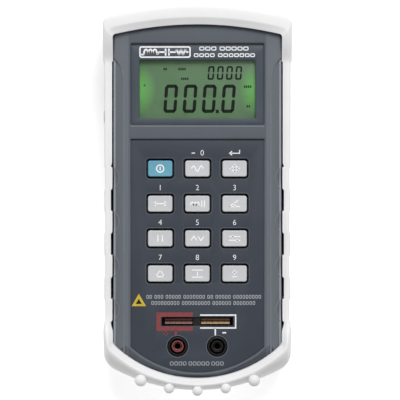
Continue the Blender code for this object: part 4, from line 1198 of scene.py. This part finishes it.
def make_battery_door():
    low, high = span("battery_door").z0, 5.2
    slab = soft(plate(*DOOR, 0.5), low, high, top=0, base=0.4)
    door = piece("battery_cover", [slab], "case_plastic", "battery_door")
    join(door, [soft(door_ear, low, high, top=0, base=0.4)])
    y = DOOR[3]
    hook = [(y - 2, 4.8), (y - 0.4, 4.8), (y - 0.4, 5.9), (y + 1, 5.9), (y + 1.2, 6.1), (y + 1.2, 7)]
    join(door, [extruded_along_x([*hook, (y - 2, 7)], x - 3, x + 3) for x in (-15, 15)])
    cut(door, [sunk(disc(0, DOOR_SCREW_Y, 2.8), 4.3, 0.2), turned([(1.5, 4), (1.5, 7)], 0, DOOR_SCREW_Y, 32)])
    cut(door, [sunk(grip_line(9, y - 5, -2, i), 3.6, 0.2) for i in range(4)])


def make_screws():
    """Cross-head screws whose heads face out of the back."""
    sizes = {f"case_screw_{number}": (1.5, 1.4) for number in range(1, 5)}
    for node, (head, shaft) in {"battery_door_screw": (0.7, 1.1), **sizes}.items():
        (x, y), part = middle(node), span(node)
        low, tip, r = part.z0, part.z1, (part.x1 - part.x0) / 2
        profile = [(0.5 * r, low), (0.75 * r, low + 0.06), (0.92 * r, low + 0.2), (r, low + 0.42)]
        profile += [(r, low + head), (shaft, low + head), (shaft, tip - 1.5), (0.3 * shaft, tip)]
        screw = piece(node + "_steel", [turned(profile, x, y, 40)], "plated_steel", node)
        rings = []
        for size, z in ((1.1, low - 0.1), (0.55, low + 0.5)):
            a, b = 0.62 * r * size, 0.16 * r * size
            plus = [(-b, -a), (b, -a), (b, -b), (a, -b), (a, b), (b, b)]
            rings.append([(x + px, y + py, z) for px, py in plus + [(-px, -py) for px, py in plus]])
        cut(screw, [loft(rings)])


def make_stand():
    """The folding stand: a framed flap with a round hinge edge, grip lines at its foot and two pins."""
    low, high, (_, half, foot, hinge) = STAND_LOW, STAND_HIGH, STAND
    slab = soft(plate(*STAND, 1), low, high, top=0.5, base=0.5)
    stand = piece("stand_flap", [slab], "stand_plastic", "tilt_stand", body="tilt_stand")
    barrel = [(1.3, -half), (1.5, 0.2 - half), (1.5, half - 0.2), (1.3, half)]
    pins = [(0.8, -28), (1, -27.8), (1, 27.8), (0.8, 28)]
    join(stand, [rod(barrel, 0, hinge, STAND_PIN_HEIGHT)])
    join(stand, [rod(pins, 0, hinge, STAND_PIN_HEIGHT, 32)])
    steps = [(-0.8, low - 0.1), (-0.3, low + 0.3), (0, low + 0.8), (0, high - 0.8), (-0.3, high - 0.3)]
    cut(stand, [loft(levels(plate(*STAND_WINDOW, 4), *steps, (-0.8, high + 0.1)))])
    cut(stand, [prism(grip_line(8, foot + 2, 1.8, i)(0), low - 1, low + 0.4) for i in range(4)])


def make_rear_label():
    """A blank label, with a border and three plain lines printed on it."""
    *limits, low, high = span("rear_label")
    film = soft(plate(*limits, 1.5), low + 0.02, high, top=0, base=0.1)
    piece("rating_label", [film], "label_film", "rear_label")
    rows = [border(plate(*widened(limits, -1.2), 1), 0.35, low, low + 0.05, 0.01)]
    for i, width in enumerate((30, 36, 24)):
        rows.append(prism(rounded(0, limits[3] - 6 - 5 * i, width, 0.5, 0.2, 2), low, low + 0.05))
    piece("label_lines", rows, "label_film", look="ink_grey")


def make_dc_jack():
    """The adaptor inlet in the left side: a block, its round nose and a pin down the middle."""
    block = soft(plate(-36.9, -25, INLET.y0, INLET.y1, 0.6), INLET.z0, INLET.z1, top=0.4, base=0.4)
    body = piece("inlet_body", [block], "black_plastic", "dc_jack_body")
    join(body, [rod([(3.3, 0), (3.5, 0.08), (3.6, 0.3), (3.6, 9)], INLET.x0, *INLET_PLACE)])
    cut(body, [rod([(3.1, -0.1), (2.85, 0.15), (2.75, 0.4), (2.75, 14.5)], INLET.x0, *INLET_PLACE)])
    pin = span("dc_jack_pin")
    profile = [(0.45, 0), (0.75, 0.12), (0.95, 0.4), (1, 0.8), (1, pin.x1 - pin.x0)]
    piece("inlet_pin", [rod(profile, pin.x0, *INLET_PLACE, 24)], "plated_steel", "dc_jack_pin")


# Light, floor and camera


def make_light():
    lamp = bpy.data.lights.new("key_light", "AREA")
    lamp.shape = "DISK"
    lamp.size = KEY_SIZE
    lamp.energy = KEY_POWER
    made = linked("key_light", lamp)
    made.location = Vector(KEY_PLACE) * MM
    aim = Vector((0, 0, 40)) * MM - made.location
    made.rotation_euler = aim.to_track_quat("-Z", "Y").to_euler()


def make_world():
    """A soft studio sky, brighter towards the display end."""
    world = bpy.data.worlds.new("studio")
    graph = Graph(world, "Background", "Generated")
    along = graph.add("ShaderNodeSeparateXYZ", {0: graph.place}).outputs[1]
    graph.set(Color=(1, 1, 1, 1), Strength=graph.ranged(along, -1, 1, *SKY))
    bpy.context.scene.world = world


def make_floor():
    look = bpy.data.materials.new("floor_pale")
    graph = Graph(look)
    shade = graph.mix(graph.noise(60), linear((246, 246, 246)), linear((250, 250, 250)))
    spot = graph.spot(graph.place, (0, GLOW_Y), (GLOW_RADIUS, GLOW_RADIUS))
    glow = graph.ranged(spot, 0, 1, *FLOOR_GLOW)
    graph.set(Base_Color=shade, Emission_Color=shade, Emission_Strength=glow, Roughness=0.8)
    floor = solid("floor", [prism(circle(0, 0, 4000, 96), -20, 0)])
    dress(floor, look, 35)


def make_camera():
    """Straight down on the face, from far enough for the frame to be FRAME_WIDTH across there."""
    lens = bpy.data.cameras.new("camera")
    lens.sensor_width = 36
    lens.lens = 200
    lens.clip_start, lens.clip_end = 0.05, 20
    distance = FRAME_WIDTH * lens.lens / lens.sensor_width
    made = linked("camera", lens)
    made.location = Vector((1.25, 0.1, FACE + distance)) * MM
    bpy.context.scene.camera = made
    bpy.context.scene.view_settings.view_transform = "Standard"


def dress_nodes():
    """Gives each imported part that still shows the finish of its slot."""
    slots = {row["node"]: row["material_slot"] for row in frame["record"]["subparts"]}
    for name, node in frame["nodes"].items():
        node.data.materials.clear()
        node.data.materials.append(LOOKS.get(slots[name], LOOKS["case_plastic"]))


def main():
    makers = [make_world, make_light, make_floor, make_camera, dress_nodes, make_boot, make_front_case]
    makers += [make_case_beads, make_display, make_overlay, make_keys, make_face_print, make_slot, make_jacks]
    makers += [make_rear_case, make_battery_door, make_screws, make_stand, make_rear_label, make_dc_jack]
    for make in makers:
        make()


main()
